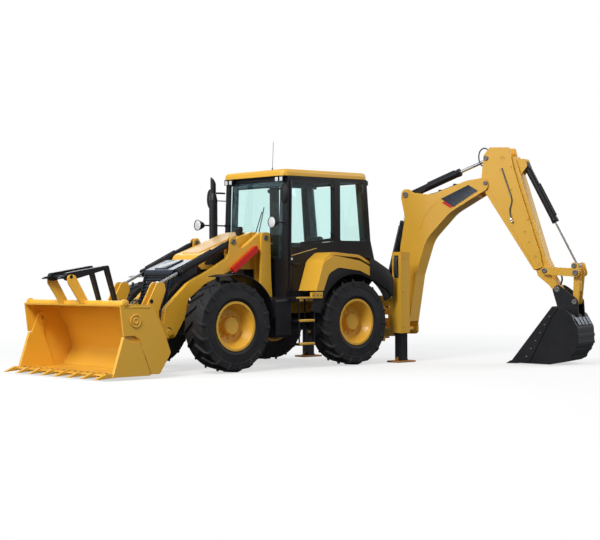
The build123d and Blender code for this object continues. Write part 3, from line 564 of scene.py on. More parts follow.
def makeTyre():
    half, crown = tyre["width"] / 2, tyre["radius"] - tyre["barHeight"]
    carcass = startRod("tyreBody", (0, -half + 0.012, 0), (0, half - 0.012, 0), crown, tyre["sides"])
    centre = lambda place, normal: abs(normal.y) > 0.9 and Vector((place.x, place.z)).length < 0.1
    edit(carcass, sideFaces, inset(0.03))
    edit(carcass, centre, inset(0.055, 0.008), inset(0.012, -0.004), inset(0.014, 0.004), inset(0.08, -0.004),
         inset(0.02, 0.006), inset(0.035, -0.02), inset(crown - 0.236 - tyre["bead"] - 0.01, -0.02))
    edit(carcass, centre, lambda: bpy.ops.mesh.delete(type="FACE"))
    pick(carcass)
    bpy.ops.object.mode_set(mode="EDIT")
    bpy.ops.mesh.select_mode(type="EDGE")
    bpy.ops.mesh.select_all(action="DESELECT")
    bpy.ops.mesh.select_non_manifold()
    bpy.ops.mesh.bridge_edge_loops()
    bpy.ops.object.mode_set(mode="OBJECT")
    soften(carcass, 0.01, 3, 25)
    bar = startBlock("tyreBar", (-tyre["barWidth"] / 2, 0.006, crown - 0.02),
                     (tyre["barWidth"] / 2, half - 0.052, tyre["radius"] - 0.006))
    edit(bar, topFace, grow(0.72, 1, 1))
    # the outer end runs over the shoulder and down the sidewall
    edit(bar, leftFace, push(0, 0.046, -0.022), grow(1.12, 1, 0.9),
         push(0, 0.004, -0.06), grow(0.9, 1, 0.8), slide(0, -0.002, 0))
    edit(bar, everyFace, lambda: bpy.ops.mesh.subdivide(number_cuts=1))
    for point in bar.data.vertices:  # slant that steepens towards the shoulder
        share = point.co.y / half
        shift = tyre["slant"] * half * (share - 0.5 + 0.22 * (share - share * share))
        angle = shift / tyre["radius"]
        x, z = point.co.x, point.co.z
        point.co.x = x * math.cos(angle) + z * math.sin(angle)
        point.co.z = z * math.cos(angle) - x * math.sin(angle)
    soften(bar, 0.005, 2, 35)
    pitch = 2 * math.pi / tyre["barsPerSide"]
    other = copyPiece(bar, "otherBar", mirrorY)
    pieces = [carcass]
    for place in range(tyre["barsPerSide"]):
        pieces.append(copyPiece(bar, "barCopy", Matrix.Rotation(pitch * place, 4, "Y")))
        pieces.append(copyPiece(other, "barCopy", Matrix.Rotation(pitch * (place + 0.5), 4, "Y")))
    discard(bar, other)
    return joinPieces(pieces, "tyreModel")


wheelNuts = {"count": 10, "ring": 0.165, "size": 0.017, "face": 0.006, "height": 0.02}


def makeNuts():
    nut = rod("wheelNut", (wheelNuts["ring"], wheelNuts["face"] - 0.002, 0),
              (wheelNuts["ring"], wheelNuts["face"] + wheelNuts["height"], 0), wheelNuts["size"], 6,
              (0.0015, 1), (leftFace, inset(0.005, 0.001), push(0, 0.008, 0), grow(0.9, 1, 0.9)))
    turns = [Matrix.Rotation(2 * math.pi * (k + 0.5) / wheelNuts["count"], 4, "Y")
             for k in range(wheelNuts["count"])]
    ring = [copyPiece(nut, "nutCopy", turn) for turn in turns]
    discard(nut)
    # hub cap's raised rim and the valve beside it
    collar = startRod("capCollar", (0, 0.094, 0), (0, 0.099, 0), 0.109, 48,
                      (leftFace, inset(0.012), push(0, -0.0035, 0)))
    valve = startRod("valve", (0.262, 0.02, 0.05), (0.262, 0.062, 0.05), 0.006, 10,
                     (leftFace, inset(0.0015), push(0, 0.006, 0)))
    return joinPieces(ring + [soften(collar, 0.0015, 1), valve], "nutsModel")


tyreModel, nutsModel = makeTyre(), makeNuts()
for end in ("front", "rear"):
    for side in ("left", "right"):
        low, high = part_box(f"tyre_{end}_{side}")
        middle = (Vector(low) + Vector(high)) / 2
        turn = Matrix.Translation(middle) @ Matrix.Rotation(0 if side == "left" else math.pi, 4, "Z")
        piece = copyPiece(tyreModel, f"{end}{side.title()}Tyre", turn)
        dress(piece, "tyreRubber", f"wheel_{end}_{side}")
        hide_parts(f"tyre_{end}_{side}")
        piece = copyPiece(nutsModel, f"{end}{side.title()}Nuts", turn)
        dress(piece, "yellowPaint", f"wheel_{end}_{side}")
discard(tyreModel, nutsModel)
print("wheels dressed")


# cab: seat, controls, lamps and trim
roofLow, roofHigh = (Vector(c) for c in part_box("cab_roof"))
cabLow, cabHigh = (Vector(c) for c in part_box("cab_frame"))
floorTop = cabLow.z + 0.03

seat = {
    "cushionLow": (-0.08, -0.235, 1.325), "cushionHigh": (0.385, 0.235, 1.425),
    "backLow": (-0.155, -0.215, 1.42), "backHigh": (-0.045, 0.215, 1.98), "backLean": 10,
    "voxel": 0.006, "pressure": 4.0, "cap": 0.016, "frames": 20,
}


def puff(piece):
    # blows the pad up a little as cloth, then holds each point near where it was
    pick(piece)
    remesh = piece.modifiers.new("even", "REMESH")
    remesh.mode, remesh.voxel_size = "VOXEL", seat["voxel"]
    bpy.ops.object.modifier_apply(modifier=remesh.name)
    before = [point.co.copy() for point in piece.data.vertices]
    cloth = piece.modifiers.new("blown", "CLOTH")
    cloth.settings.use_pressure = True
    cloth.settings.uniform_pressure_force = seat["pressure"]
    cloth.settings.effector_weights.gravity = 0
    for step in range(1, seat["frames"] + 1):
        bpy.context.scene.frame_set(step)
    bpy.ops.object.modifier_apply(modifier=cloth.name)
    bpy.context.scene.frame_set(1)
    for point, start in zip(piece.data.vertices, before):
        shift = point.co - start
        if shift.length > seat["cap"]:
            point.co = start + shift.normalized() * seat["cap"]
    relax = piece.modifiers.new("relax", "SMOOTH")
    relax.factor, relax.iterations = 0.5, 4
    bpy.ops.object.modifier_apply(modifier=relax.name)
    bpy.ops.object.shade_smooth()


def channels(piece, axis, places, depth, width):
    # sewn channels pressed in across the pad, after its remesh
    middle = sum((point.co for point in piece.data.vertices), Vector()) / len(piece.data.vertices)
    for point in piece.data.vertices:
        for place in places:
            gap = abs(point.co[axis] - place)
            if gap < width:
                fall = depth * (1 - gap / width) ** 2
                point.co += (middle - point.co).normalized() * fall


def makeSeat():
    cushion = block("seatCushion", seat["cushionLow"], seat["cushionHigh"], (0.035, 4, 20),
                    (topFace, inset(0.09), slide(0, 0, -0.012)), (frontFace, slide(0.01, 0, -0.015)))
    puff(cushion)
    channels(cushion, 0, (0.06, 0.16, 0.26), 0.01, 0.016)
    back = block("seatBack", seat["backLow"], seat["backHigh"], (0.035, 4, 20),
                 (frontFace, inset(0.08), slide(-0.012, 0, 0)), (topFace, grow(0.9, 0.72, 1)))
    puff(back)
    channels(back, 2, (1.55, 1.68, 1.81), 0.01, 0.016)
    lean = Matrix.Translation((-0.02, 0, 1.42)) @ Matrix.Rotation(math.radians(-seat["backLean"]), 4, "Y")
    back.data.transform(lean @ Matrix.Translation((0.02, 0, -1.42)))
    for piece in (cushion, back):
        dress(piece, "seatCloth", "chassis")
        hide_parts("operator_station")
    # pan, bellows suspension and rails under the cushion
    folds = [block("seatPan", (-0.1, -0.22, 1.295), (0.37, 0.22, 1.33), (0.008, 2),
                   (lowFace, inset(0.05), push(0, 0, -0.03), grow(0.9, 0.9, 1)))]
    for row in range(5):
        folds.append(block("fold", (0.0, -0.15, 1.075 + row * 0.04), (0.3, 0.15, 1.115 + row * 0.04),
                           (0.006, 2), (flatFaces, grow(0.88, 0.88, 1))))
    folds.append(block("seatBase", (-0.03, -0.17, floorTop), (0.33, 0.17, 1.075), (0.006, 2)))
    for sign in (-1, 1):
        folds.append(block("armRest", (-0.1, sign * 0.275 - 0.03, 1.6), (0.2, sign * 0.275 + 0.03, 1.645),
                           (0.014, 3), (backFace, push(-0.03, 0, -0.02), push(0, 0, -0.14),
                                        grow(0.8, 0.8, 1))))
    piece = joinPieces(folds, "seatStand")
    dress(piece, "moulding", "chassis")
    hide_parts("operator_station")


controls = {
    "foot": (0.885, 0, 1.07), "head": (0.69, 0, 1.64), "wheelRadius": 0.185, "gripRadius": 0.014,
    "leverFoot": (-0.42, 0.16, 1.1), "leverHead": (-0.36, 0.2, 1.86),
}


def makeControls():
    foot, head = Vector(controls["foot"]), Vector(controls["head"])
    up = (head - foot).normalized()
    column = startRod("steeringColumn", foot, head - up * 0.05, 0.048, 24,
                      (towards(up), inset(0.012), push(*up * 0.03)), (towards(-up), grow(1.9, 1.9, 1)))
    dash = startBlock("dash", (0.77, -0.16, 1.5), (0.93, 0.16, 1.6),
                      (topFace, slide(-0.03, 0, 0.02), grow(1, 0.85, 1)))
    pick()
    bpy.ops.mesh.primitive_torus_add(
        major_radius=controls["wheelRadius"], minor_radius=controls["gripRadius"], major_segments=48,
        minor_segments=10, location=head, rotation=up.to_track_quat("Z", "Y").to_euler())
    grip = settle("wheelGrip")
    side = up.cross(Vector((0, 1, 0))).normalized()
    spokes = []
    for turn in (90, 210, 330):
        way = Matrix.Rotation(math.radians(turn), 3, up) @ side
        spokes.append(startRod("spoke", head - up * 0.02, head + way * controls["wheelRadius"], 0.011, 8))
    hub = startRod("wheelHub", head - up * 0.05, head + up * 0.004, 0.045, 20,
                   (towards(up), inset(0.01), push(*up * 0.008), grow(0.8, 0.8, 0.8)))
    levers = []
    for sign in (-1, 1):
        foot, tip = Vector(controls["leverFoot"]), Vector(controls["leverHead"])
        foot.y, tip.y = sign * foot.y, sign * tip.y
        box = startBlock("leverBox", (foot.x - 0.09, foot.y - 0.07, floorTop),
                         (foot.x + 0.07, foot.y + 0.07, 1.62),
                         (topFace, grow(0.8, 0.8, 1), inset(0.02), push(0, 0, 0.02)))
        stem = startRod("leverStem", (foot.x, foot.y, 1.6), tip, 0.008, 10)
        knob = startRod("leverKnob", tip, tip + Vector((0.004, 0, 0.075)), 0.019, 16,
                        (topFace, grow(1.15, 1.15, 1), inset(0.006), push(0, 0, 0.008)))
        levers += [soften(box, 0.012, 2), smooth(stem), soften(knob, 0.004, 2)]
    pieces = [soften(column, 0.004, 2), soften(dash, 0.02, 3), smooth(grip), soften(hub, 0.004, 2)]
    piece = joinPieces(pieces + [smooth(s) for s in spokes] + levers, "cabControls")
    dress(piece, "moulding", "chassis")
    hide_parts("operator_station")


lamps = {
    "roofFront": (1.004, roofLow.z - 0.048), "roofRear": (-0.632, roofLow.z - 0.048), "sides": (0.64, 0.54),
    "roofSize": (0.062, 0.082, 0.076),
    # each head lamp's place, and its stay's across
    "heads": (((1.16, 0.655, 2.125), 0.645), ((1.44, -0.75, 2.115), -0.701)),
    "headRadius": 0.086, "headDepth": 0.1,
}


def makeLamps():
    deep, wide, tall = lamps["roofSize"]
    body = startBlock("lampBody", (0, -wide / 2, -tall / 2), (deep, wide / 2, tall / 2),
                      (backFace, grow(1, 0.62, 0.62)), (frontFace, inset(0.006), push(-0.008, 0, 0)))
    stay = startBlock("lampStay", (0.015, -0.012, 0.02), (0.027, 0.012, 0.048))
    body = joinPieces([soften(body, 0.008, 3), soften(stay, 0.002, 1)], "lampBody")
    lens = block("lampGlass", (deep - 0.012, -wide / 2 + 0.006, -tall / 2 + 0.006),
                 (deep - 0.006, wide / 2 - 0.006, tall / 2 - 0.006), (0.003, 2, 15),
                 (frontFace, inset(0.012, 0.004), inset(0.01, 0.001)))
    bodies, glasses = [], []
    for x, height, turn in ((*lamps["roofFront"], 0), (*lamps["roofRear"], math.pi)):
        for y in lamps["sides"] + tuple(-s for s in lamps["sides"]):
            place = Matrix.Translation((x, y, height)) @ Matrix.Rotation(turn, 4, "Z")
            bodies.append(copyPiece(body, "roofLamp", place))
            glasses.append(copyPiece(lens, "roofGlass", place))
    radius, depth = lamps["headRadius"], lamps["headDepth"]
    for (x, y, z), stayY in lamps["heads"]:
        bodies.append(rod("headLamp", (x, y, z), (x + depth, y, z), radius, 32, (0.006, 3),
                          (backFace, grow(1, 0.55, 0.55), push(-0.02, 0, 0), grow(1, 0.7, 0.7)),
                          (frontFace, inset(0.008), push(-0.012, 0, 0))))
        bodies.append(smooth(startRod("headStay", (cabHigh.x - 0.002, stayY, z - 0.002),
                                      (x + 0.02, stayY, z - 0.002), 0.011, 12,
                                      (backFace, inset(0.002), push(-0.006, 0, 0), grow(1, 2.4, 2.4)))))
        glasses.append(smooth(startRod("headGlass", (x + depth - 0.013, y, z), (x + depth - 0.008, y, z),
                                       radius - 0.008, 32,
                                       (frontFace, inset(0.012, 0.006), inset(0.018, 0.004),
                                        inset(0.018, 0.001))), 60))
    discard(body, lens)
    housing = dress(joinPieces(bodies, "lampHousings"), "moulding", "chassis")
    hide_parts("work_lamps")
    glass = dress(joinPieces(glasses, "lampLenses"), "lampLens", "chassis")
    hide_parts("work_lamps")


mirror = {"y": 0.865, "z": 2.53, "glass": (1.1795, 1.176), "glassRadius": 0.068, "back": (1.205, 1.222),
          "backRadius": 0.062, "clampX": 1.19, "clampZ": 2.6125}


def makeMirrors():
    glasses = []
    for sign in (-1, 1):
        start, end = ((x, sign * mirror["y"], mirror["z"]) for x in mirror["glass"])
        glasses.append(smooth(startRod("mirrorFace", start, end, mirror["glassRadius"], 32,
                                       (everyFace, grow(1, 1, 2.05)), (backFace, inset(0.006, 0.0015)))))
    dress(joinPieces(glasses, "mirrorGlass"), "chromeRod", "chassis")
    shells = []
    for sign in (-1, 1):
        start, end = ((x, sign * mirror["y"], mirror["z"]) for x in mirror["back"])
        shell = startRod("mirrorBack", start, end, mirror["backRadius"], 32, (everyFace, grow(1, 1, 2.1)),
                         (frontFace, grow(1, 0.7, 0.8), inset(0.01, 0.004)))
        start, end = ((mirror["clampX"], sign * y, mirror["clampZ"]) for y in (0.79, 0.84))
        clamp = startRod("mirrorClamp", start, end, 0.022, 16, (sideFaces, inset(0.006, 0.003)))
        shells += [soften(shell, 0.008, 3), soften(clamp, 0.003, 2)]
    dress(joinPieces(shells, "mirrorShells"), "moulding", "chassis")


makeSeat()
makeControls()
makeLamps()
makeMirrors()
print("seat, controls, lamps and mirrors made")


# cab frame: inner posts, header, door trim, wiper and antenna
cabTrim = {
    "postWide": (0.505, 0.615), "postDeep": 0.05, "postFoot": 1.6, "postTop": 2.78, "screenFoot": 1.028,
    "screenLean": -0.0437, "header": (2.675, 2.795), "doorFace": 0.722, "hinges": (1.98, 2.68),
    "wiperFoot": 1.66, "wiperTop": 2.3, "bladeHeight": 2.1, "antenna": (0.93, 0.3, 0.42), "gasketIn": 0.025,
}


def screenX(height):
    # the inner face of the windscreen at a height
    return cabTrim["screenFoot"] - 0.02 + (height - 1.56) * cabTrim["screenLean"]


def makePosts():
    foot, top, deep = cabTrim["postFoot"], cabTrim["postTop"], cabTrim["postDeep"]
    inner, outer = cabTrim["postWide"]
    pieces = []
    for sign in (-1, 1):
        low, high = sorted((sign * inner, sign * outer))
        x = screenX(foot)
        pieces.append(block("innerPost", (x - deep, low, foot), (x - 0.004, high, foot + 0.05), (0.006, 2),
                            (topFace, push(screenX(top) - screenX(foot + 0.05), 0, top - foot - 0.05)),
                            (frontFace, inset(0.012, -0.008))))
        x = -0.745
        pieces.append(block("rearPost", (x, low, foot), (x + deep, high, foot + 0.05), (0.006, 2),
                            (topFace, push(0.115, 0, top - foot - 0.05))))
    low, high = cabTrim["header"]
    pieces.append(block("header", (screenX(high) - 0.05, -0.62, low), (screenX(high) - 0.006, 0.62, high),
                        (0.006, 2), (lowFace, inset(0.02), push(0, 0, -0.02), grow(0.6, 0.95, 1)),
                        (frontFace, inset(0.012, -0.006))))
    pieces.append(block("topRail", (-0.6, -0.66, 2.745), (0.94, -0.62, 2.8), (0.006, 2),
                        (leftFace, inset(0.01, -0.005))))
    pieces.append(copyPiece(pieces[-1], "topRailLeft", mirrorY))
    # the inner frame's blue tint is a painted sky reflection
    dress(joinPieces(pieces, "innerFrame"), "paintedSkyBluePost", "chassis")


def makeDoorTrim(side, sign):
    outerY = cabTrim["doorFace"]
    panel = startBlock("doorPanel", (0.915, outerY - 0.018, 1.1), (0.955, outerY - 0.004, 1.16),
                       (topFace, push(-0.045, 0, 0.41), grow(2.7, 1, 1), push(-0.04, 0, 0.2),
                        grow(1.68, 1, 1)), (leftFace, inset(0.014, -0.004)))
    frameBar = startBlock("doorEdge", (0.955, outerY - 0.002, 1.1), (0.985, outerY + 0.014, 2.75),
                          (topFace, slide(-0.035, 0, 0), grow(0.8, 1, 1)))
    handle = startBlock("doorHandle", (0.8, outerY, 1.495), (0.92, outerY + 0.02, 1.525),
                        (backFace, push(-0.02, 0, 0), grow(1, 0.6, 1.5)), (leftFace, inset(0.006, 0.003)))
    lock = startRod("doorLock", (0.935, outerY, 1.59), (0.935, outerY + 0.018, 1.59), 0.02, 20,
                    (leftFace, inset(0.005, -0.002)))
    bars = []
    for z in cabTrim["hinges"]:
        barrel = startRod("hinge", (0.062, outerY + 0.009, z - 0.05), (0.062, outerY + 0.009, z + 0.05),
                          0.014, 16, (flatFaces, inset(0.003, 0.003)))
        leaf = startBlock("hingeLeaf", (0.066, outerY, z - 0.04), (0.15, outerY + 0.01, z + 0.04),
                          (frontFace, grow(1, 1, 0.6)))
        bars += [smooth(barrel), soften(leaf, 0.004, 2)]
    black = joinPieces([soften(panel, 0.003, 2), soften(frameBar, 0.004, 2), soften(handle, 0.005, 2)] + bars,
                       f"{side}DoorTrim")
    # thin gold stripe slanting across the door
    gold = block(f"{side}DoorStripe", (0.43, outerY, 1.74), (0.455, outerY + 0.006, 1.752), (0.002, 1),
                 (frontFace, push(0.49, 0, -0.112)))
    silver = joinPieces([soften(lock, 0.002, 2)], f"{side}DoorLock")
    for piece, finish, slot in ((black, "blackPaint", "black_paint"), (gold, "goldStripe", "yellow_paint"),
                                (silver, "chromeRod", "chrome")):
        if sign < 0:
            piece.data.transform(mirrorY)
            piece.data.flip_normals()
        dress(piece, finish, f"door_{side}")


def makeWiper():
    foot, top, middle = cabTrim["wiperFoot"], cabTrim["wiperTop"], screenX(cabTrim["bladeHeight"])
    start = screenX(foot)
    motor = startRod("wiperBoss", (start + 0.028, -0.1, foot), (start + 0.055, -0.1, foot), 0.022, 16,
                     (frontFace, inset(0.006, 0.004)))
    arm = startRod("wiperArm", (start + 0.05, -0.1, foot), (screenX(top) + 0.045, 0.16, top), 0.007, 8)
    blade = startBlock("wiperBlade", (middle + 0.03, -0.004, -0.3), (middle + 0.046, 0.004, 0.3),
                       (backFace, grow(1, 0.4, 1)))
    blade.data.transform(Matrix.Translation((0.0, 0.12, 2.08)) @ Matrix.Rotation(math.radians(-18), 4, "X"))
    dress(joinPieces([soften(motor, 0.003, 2), smooth(arm), soften(blade, 0.002, 1)], "screenWiper"),
          "moulding", "chassis")
    x, y, rise = cabTrim["antenna"]
    base = startRod("antennaFoot", (x, y, roofHigh.z - 0.012), (x, y, roofHigh.z + 0.03), 0.02, 16,
                    (topFace, grow(0.5, 0.5, 1), inset(0.004), push(0, 0, 0.02), grow(0.6, 0.6, 1)))
    whip = startRod("antennaWhip", (x, y, roofHigh.z), (x - 0.02, y, roofHigh.z + rise), 0.0035, 8)
    dress(joinPieces([soften(base, 0.002, 2), smooth(whip)], "roofAntenna"), "moulding", "chassis")


def makeRoofTrim():
    # gasket under the roof, and a raised panel pressed into its top
    margin = cabTrim["gasketIn"]
    low = (roofLow.x + margin, roofLow.y + margin, roofLow.z - 0.012)
    high = (roofHigh.x - margin, roofHigh.y - margin, roofLow.z + 0.004)
    dress(block("roofGasket", low, high, (0.004, 2), (lowFace, inset(0.09), push(0, 0, 0.012))), "moulding",
          "chassis")
    dress(block("roofPanel", (roofLow.x + 0.2, roofLow.y + 0.22, roofHigh.z - 0.01),
                (roofHigh.x - 0.22, roofHigh.y - 0.22, roofHigh.z + 0.014), (0.01, 3),
                (topFace, grow(0.94, 0.94, 1), inset(0.05), inset(0.02, -0.008))), "yellowPaint", "chassis")


makePosts()
makeDoorTrim("left", 1)
makeDoorTrim("right", -1)
makeWiper()
makeRoofTrim()
print("cab trimmed")


# rear fenders: rubber arch liners and black tails, with the steps beside them
fender = {
    "axle": (0.0, 0.645), "inner": 0.712, "outer": 0.9, "side": (1.076, 1.101),
    "from": 12, "sweep": 142, "steps": 40,
    "tail": ((-0.3, 1.57), (-0.42, 1.525), (-0.68, 1.395), (-0.795, 1.262)), "tailThick": 0.012,
}


def sweepBack(piece, path):
    # draws the piece's rear end on from point to point
    for here, there in zip(path, path[1:]):
        edit(piece, lambda place, normal: normal.x < -0.75 and place.x < here.x + 0.02, push(*(there - here)))


def makeFenders():
    x, z = fender["axle"]
    start = math.radians(fender["from"])
    low, high = fender["side"]
    band = startBlock("archLiner", (x + fender["inner"], low, z - 0.01),
                      (x + fender["outer"], high, z + 0.01))
    band.data.transform(Matrix.Translation((x, 0, z)) @ Matrix.Rotation(-start, 4, "Y") @
                        Matrix.Translation((-x, 0, -z)))
    forward = Vector((-math.sin(start), 0, math.cos(start)))
    edit(band, towards(forward),
         lambda: bpy.ops.mesh.spin(steps=fender["steps"], angle=math.radians(fender["sweep"]),
                                   center=(x, 0, z), axis=(0, 1, 0)))
    edit(band, everyFace, lambda: bpy.ops.mesh.remove_doubles(threshold=0.0001),
         lambda: bpy.ops.mesh.normals_make_consistent(inside=False))
    soften(band, 0.006, 2, 50)
    path = [Vector((px, 0, pz)) for px, pz in fender["tail"]]
    thick = fender["tailThick"]
    x, z = path[0].x, path[0].z
    plate = startBlock("tailPlate", (x - 0.004, 0.73, z + 0.03), (x, 1.116, z + 0.03 + thick))
    sweepBack(plate, path)
    edge = startBlock("tailEdge", (x - 0.004, 1.109, z - 0.285), (x, 1.117, z + 0.04))
    sweepBack(edge, path)
    left = joinPieces([band, soften(plate, 0.003, 2, 50), soften(edge, 0.003, 2, 50)], "fenderTrimLeft")
    dressBoth(left, "fenderTrimRight", "moulding", "chassis")


steps = {
    "treads": (0.345, 0.68), "x": (0.82, 1.12), "y": 1.101, "box": ((0.68, 1.085, 1.01), (0.9, 1.13, 1.1)),
    "bolts": (0.72, 0.79, 0.86), "straps": (0.812, 1.106),
}


def makeSteps():
    edges, bolts, sides = [], [], []
    low, high = steps["x"]
    for z in steps["treads"]:
        edges.append(block("treadEdge", (low, steps["y"] - 0.03, z - 0.006), (high, steps["y"], z + 0.026),
                           (0.004, 2), (topFace, inset(0.006), push(0, 0, 0.004))))
    edges.append(block("cornerBox", *steps["box"], (0.006, 3), (leftFace, inset(0.012, -0.003))))
    edges.append(block("platformEdge", (0.83, 1.094, 1.008), (1.18, 1.114, 1.034), (0.004, 2)))
    for x in steps["bolts"]:
        bolts.append(rod("boxBolt", (x, 1.126, 1.055), (x, 1.136, 1.055), 0.011, 6, (0.001, 1),
                         (leftFace, inset(0.003, 0.001))))
    for x in steps["straps"]:
        sides.append(block("stepStrap", (x, 1.075, 0.335), (x + 0.014, 1.1, 1.005), (0.003, 1),
                           (endFaces, inset(0.005, -0.002))))
    for name, group, finish, slot in (("stepEdges", edges, "yellowPaint", "yellow_paint"),
                                      ("stepBolts", bolts, "greyIron", "grey_iron"),
                                      ("stepStraps", sides, "blackPaint", "black_paint")):
        dressBoth(joinPieces(group, f"{name}Left"), f"{name}Right", finish, "chassis")


makeFenders()
makeSteps()
print("fenders and steps dressed")


# loader: pin heads, bucket bosses, hoses and the arms' small parts
def pinHead(name, place, along, radius, height, sides=24):
    # a turned pin head: chamfered disc, sunk ring and a grease dimple
    place, along = Vector(place), Vector(along).normalized()
    head = startRod(name, place, place + along * height, radius, sides)
    outward = towards(along)
    edit(head, outward, inset(radius * 0.18), push(*(along * height * 0.25)), inset(radius * 0.22),
         push(*(-along * height * 0.3)), inset(radius * 0.2))
    return soften(head, min(0.003, radius * 0.08), 2)


loader = {
    "pivot": (1.25, 1.9), "hump": (1.829, 1.835), "hinge": (2.994, 0.566), "clam": (4.046, 0.764),
    "tip": (3.132, 1.231), "lip": (4.2, 0.995), "boss": 0.085,
    # run of each steel pipe along an arm: x and z
    "armPipe": ((1.42, 1.83), (1.62, 1.7), (1.8, 1.6), (2.2, 1.36), (2.6, 1.17), (2.84, 0.96)),
    "armPipeLow": ((1.42, 1.8), (1.62, 1.67), (1.8, 1.57), (2.2, 1.33), (2.58, 1.14), (2.81, 0.94)),
    "pipeSide": 0.382, "pipeRadius": 0.009,
    # run of each hose loop: x, the share of its place across, z
    "hose": ((2.905, 1, 0.722), (2.9, 1, 0.82), (2.96, 0.95, 0.99), (3.1, 0.8, 1.02), (3.18, 0.7, 0.88),
             (3.12, 0.75, 0.74), (2.99, 0.9, 0.64), (2.95, 1, 0.66)),
    "hosePlaces": (-0.26, -0.16, 0.2, 0.29), "hoseRadius": 0.014,
    "earHole": (3.3, 1.0, 0.03), "ramSides": (0.43, -0.43), "liftRam": ((1.23, 0.52), (1.9, 1.5)),
}
clamEdge = {"front": 4.43, "back": 4.3, "in": 0.06, "bolts": 16, "boltX": 4.345, "boltIn": 0.1}
forkTips = {"places": (-0.195, 0.195), "stemWide": 0.03, "tipWide": 0.024}


def makeLoaderPins():
    x, z = loader["pivot"]
    dressBoth(pinHead("towerPins", (x, 0.515, z), (0, 1, 0), 0.04, 0.012), "towerPinsRight", "greyIron",
              "chassis")
    x, z = loader["hump"]
    pins = [pinHead("humpHead", (x, 0.4695, z), (0, 1, 0), 0.04, 0.014),
            pinHead("humpHeadInner", (x, 0.3905, z), (0, -1, 0), 0.04, 0.014)]
    x, z = loader["hinge"]
    pins.append(rod("armBoss", (x, 0.4695, z), (x, 0.476, z), 0.072, 32, (0.002, 2),
                    (leftFace, inset(0.012))))
    dressBoth(joinPieces(pins, "armPins"), "armPinsRight", "greyIron", "loader_arms")


def makeBucketTrim():
    side = Vector(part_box("loader_bucket")[1]).y
    x, z = loader["clam"]
    parts = [rod("clamBoss", (x, side - 0.002, z), (x, side + 0.012, z), loader["boss"], 40, (0.003, 2),
                 (leftFace, inset(0.014), push(0, -0.008, 0), inset(0.026), push(0, 0.01, 0), inset(0.018),
                  push(0, -0.004, 0)))]
    # flat band along the side plate's top, and a seam up its lower front
    parts.append(block("topBand", (3.82, side - 0.004, 0.93), (4.24, side + 0.004, 0.955), (0.003, 1),
                       (frontFace, grow(1, 1, 0.5))))
    seam = startBlock("sideSeam", (3.8, side - 0.002, 0.075), (3.812, side + 0.003, 0.09))
    for dx, dz in ((0.055, 0.14), (0.06, 0.13), (0.055, 0.1)):
        edit(seam, facing(2, 1, 0.6), push(dx, 0, dz))
    parts.append(soften(seam, 0.001, 1))
    dressBoth(joinPieces(parts, "bucketTrimLeft"), "bucketTrimRight", "yellowPaint", "loader_bucket")
    x, z, radius = loader["earHole"]
    # dark disc in the ear's hole: painted shade inside it
    dressBoth(smooth(startRod("earHoleShadeLeft", (x, 0.5045, z), (x, 0.5065, z), radius, 24,
                              (leftFace, inset(radius * 0.2, -0.001)))), "earHoleShadeRight", "moulding",
              "loader_bucket")
    # end caps of the lip's tube
    caps = []
    x, z = loader["lip"]
    for sign in (-1, 1):
        caps.append(rod("lipCap", (x, sign * (side - 0.001), z), (x, sign * (side + 0.009), z), 0.04, 24,
                        (0.002, 2), (lambda place, normal: abs(normal.y) > 0.9 and abs(place.y) > side,
                                     inset(0.01, 0.003))))
    dress(joinPieces(caps, "lipCaps"), "yellowPaint", "loader_bucket")


def makeClamEdge():
    # bolted cutting edge between the teeth, with its bolt heads
    low, high = (Vector(c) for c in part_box("bucket_clam"))
    margin, x = clamEdge["in"], clamEdge["boltX"]
    edge = block("cutEdge", (clamEdge["back"], low.y + margin, 0.07),
                 (clamEdge["front"], high.y - margin, 0.082), (0.002, 1),
                 (frontFace, push(0.05, 0, -0.01), grow(1, 1, 0.4)))
    bolt = rod("edgeBolt", (x, 0, 0.081), (x, 0, 0.09), 0.016, 8, (0.001, 1), (topFace, inset(0.004, 0.002)))
    first, last = low.y + clamEdge["boltIn"], clamEdge["bolts"] - 1
    width = high.y - low.y - 2 * clamEdge["boltIn"]
    bolts = [copyPiece(bolt, "boltCopy", Matrix.Translation((0, first + width * k / last, 0)))
             for k in range(clamEdge["bolts"])]
    discard(bolt)
    dress(edge, "yellowPaint", "bucket_clam")
    dress(joinPieces(bolts, "edgeBolts"), "greyIron", "bucket_clam")


def makeLoaderHoses():
    # steel pipes along the arms, and grey hose loops in front of the crossbar
    for sign, side in ((1, "Left"), (-1, "Right")):
        y = sign * loader["pipeSide"]
        for name in ("armPipe", "armPipeLow"):
            tube(f"{name}{side}", [(x, y, z) for x, z in loader[name]], loader["pipeRadius"], "yellowPaint",
                 "loader_arms", 4)
    for k, y in enumerate(loader["hosePlaces"]):
        tube(f"loaderHose{k}", [(x, y * share, z) for x, share, z in loader["hose"]], loader["hoseRadius"],
             "hoseGrey", "loader_arms", 5)
    dress(block("armValve", (2.875, -0.12, 0.69), (2.965, 0.1, 0.8), (0.006, 2),
                (topFace, inset(0.015), push(0, 0, 0.025)), (frontFace, inset(0.018), push(0.02, 0, 0))),
          "greyIron", "loader_arms")


portsFrom = (0.1, 0.62)  # metres from the gland, and share of the barrel


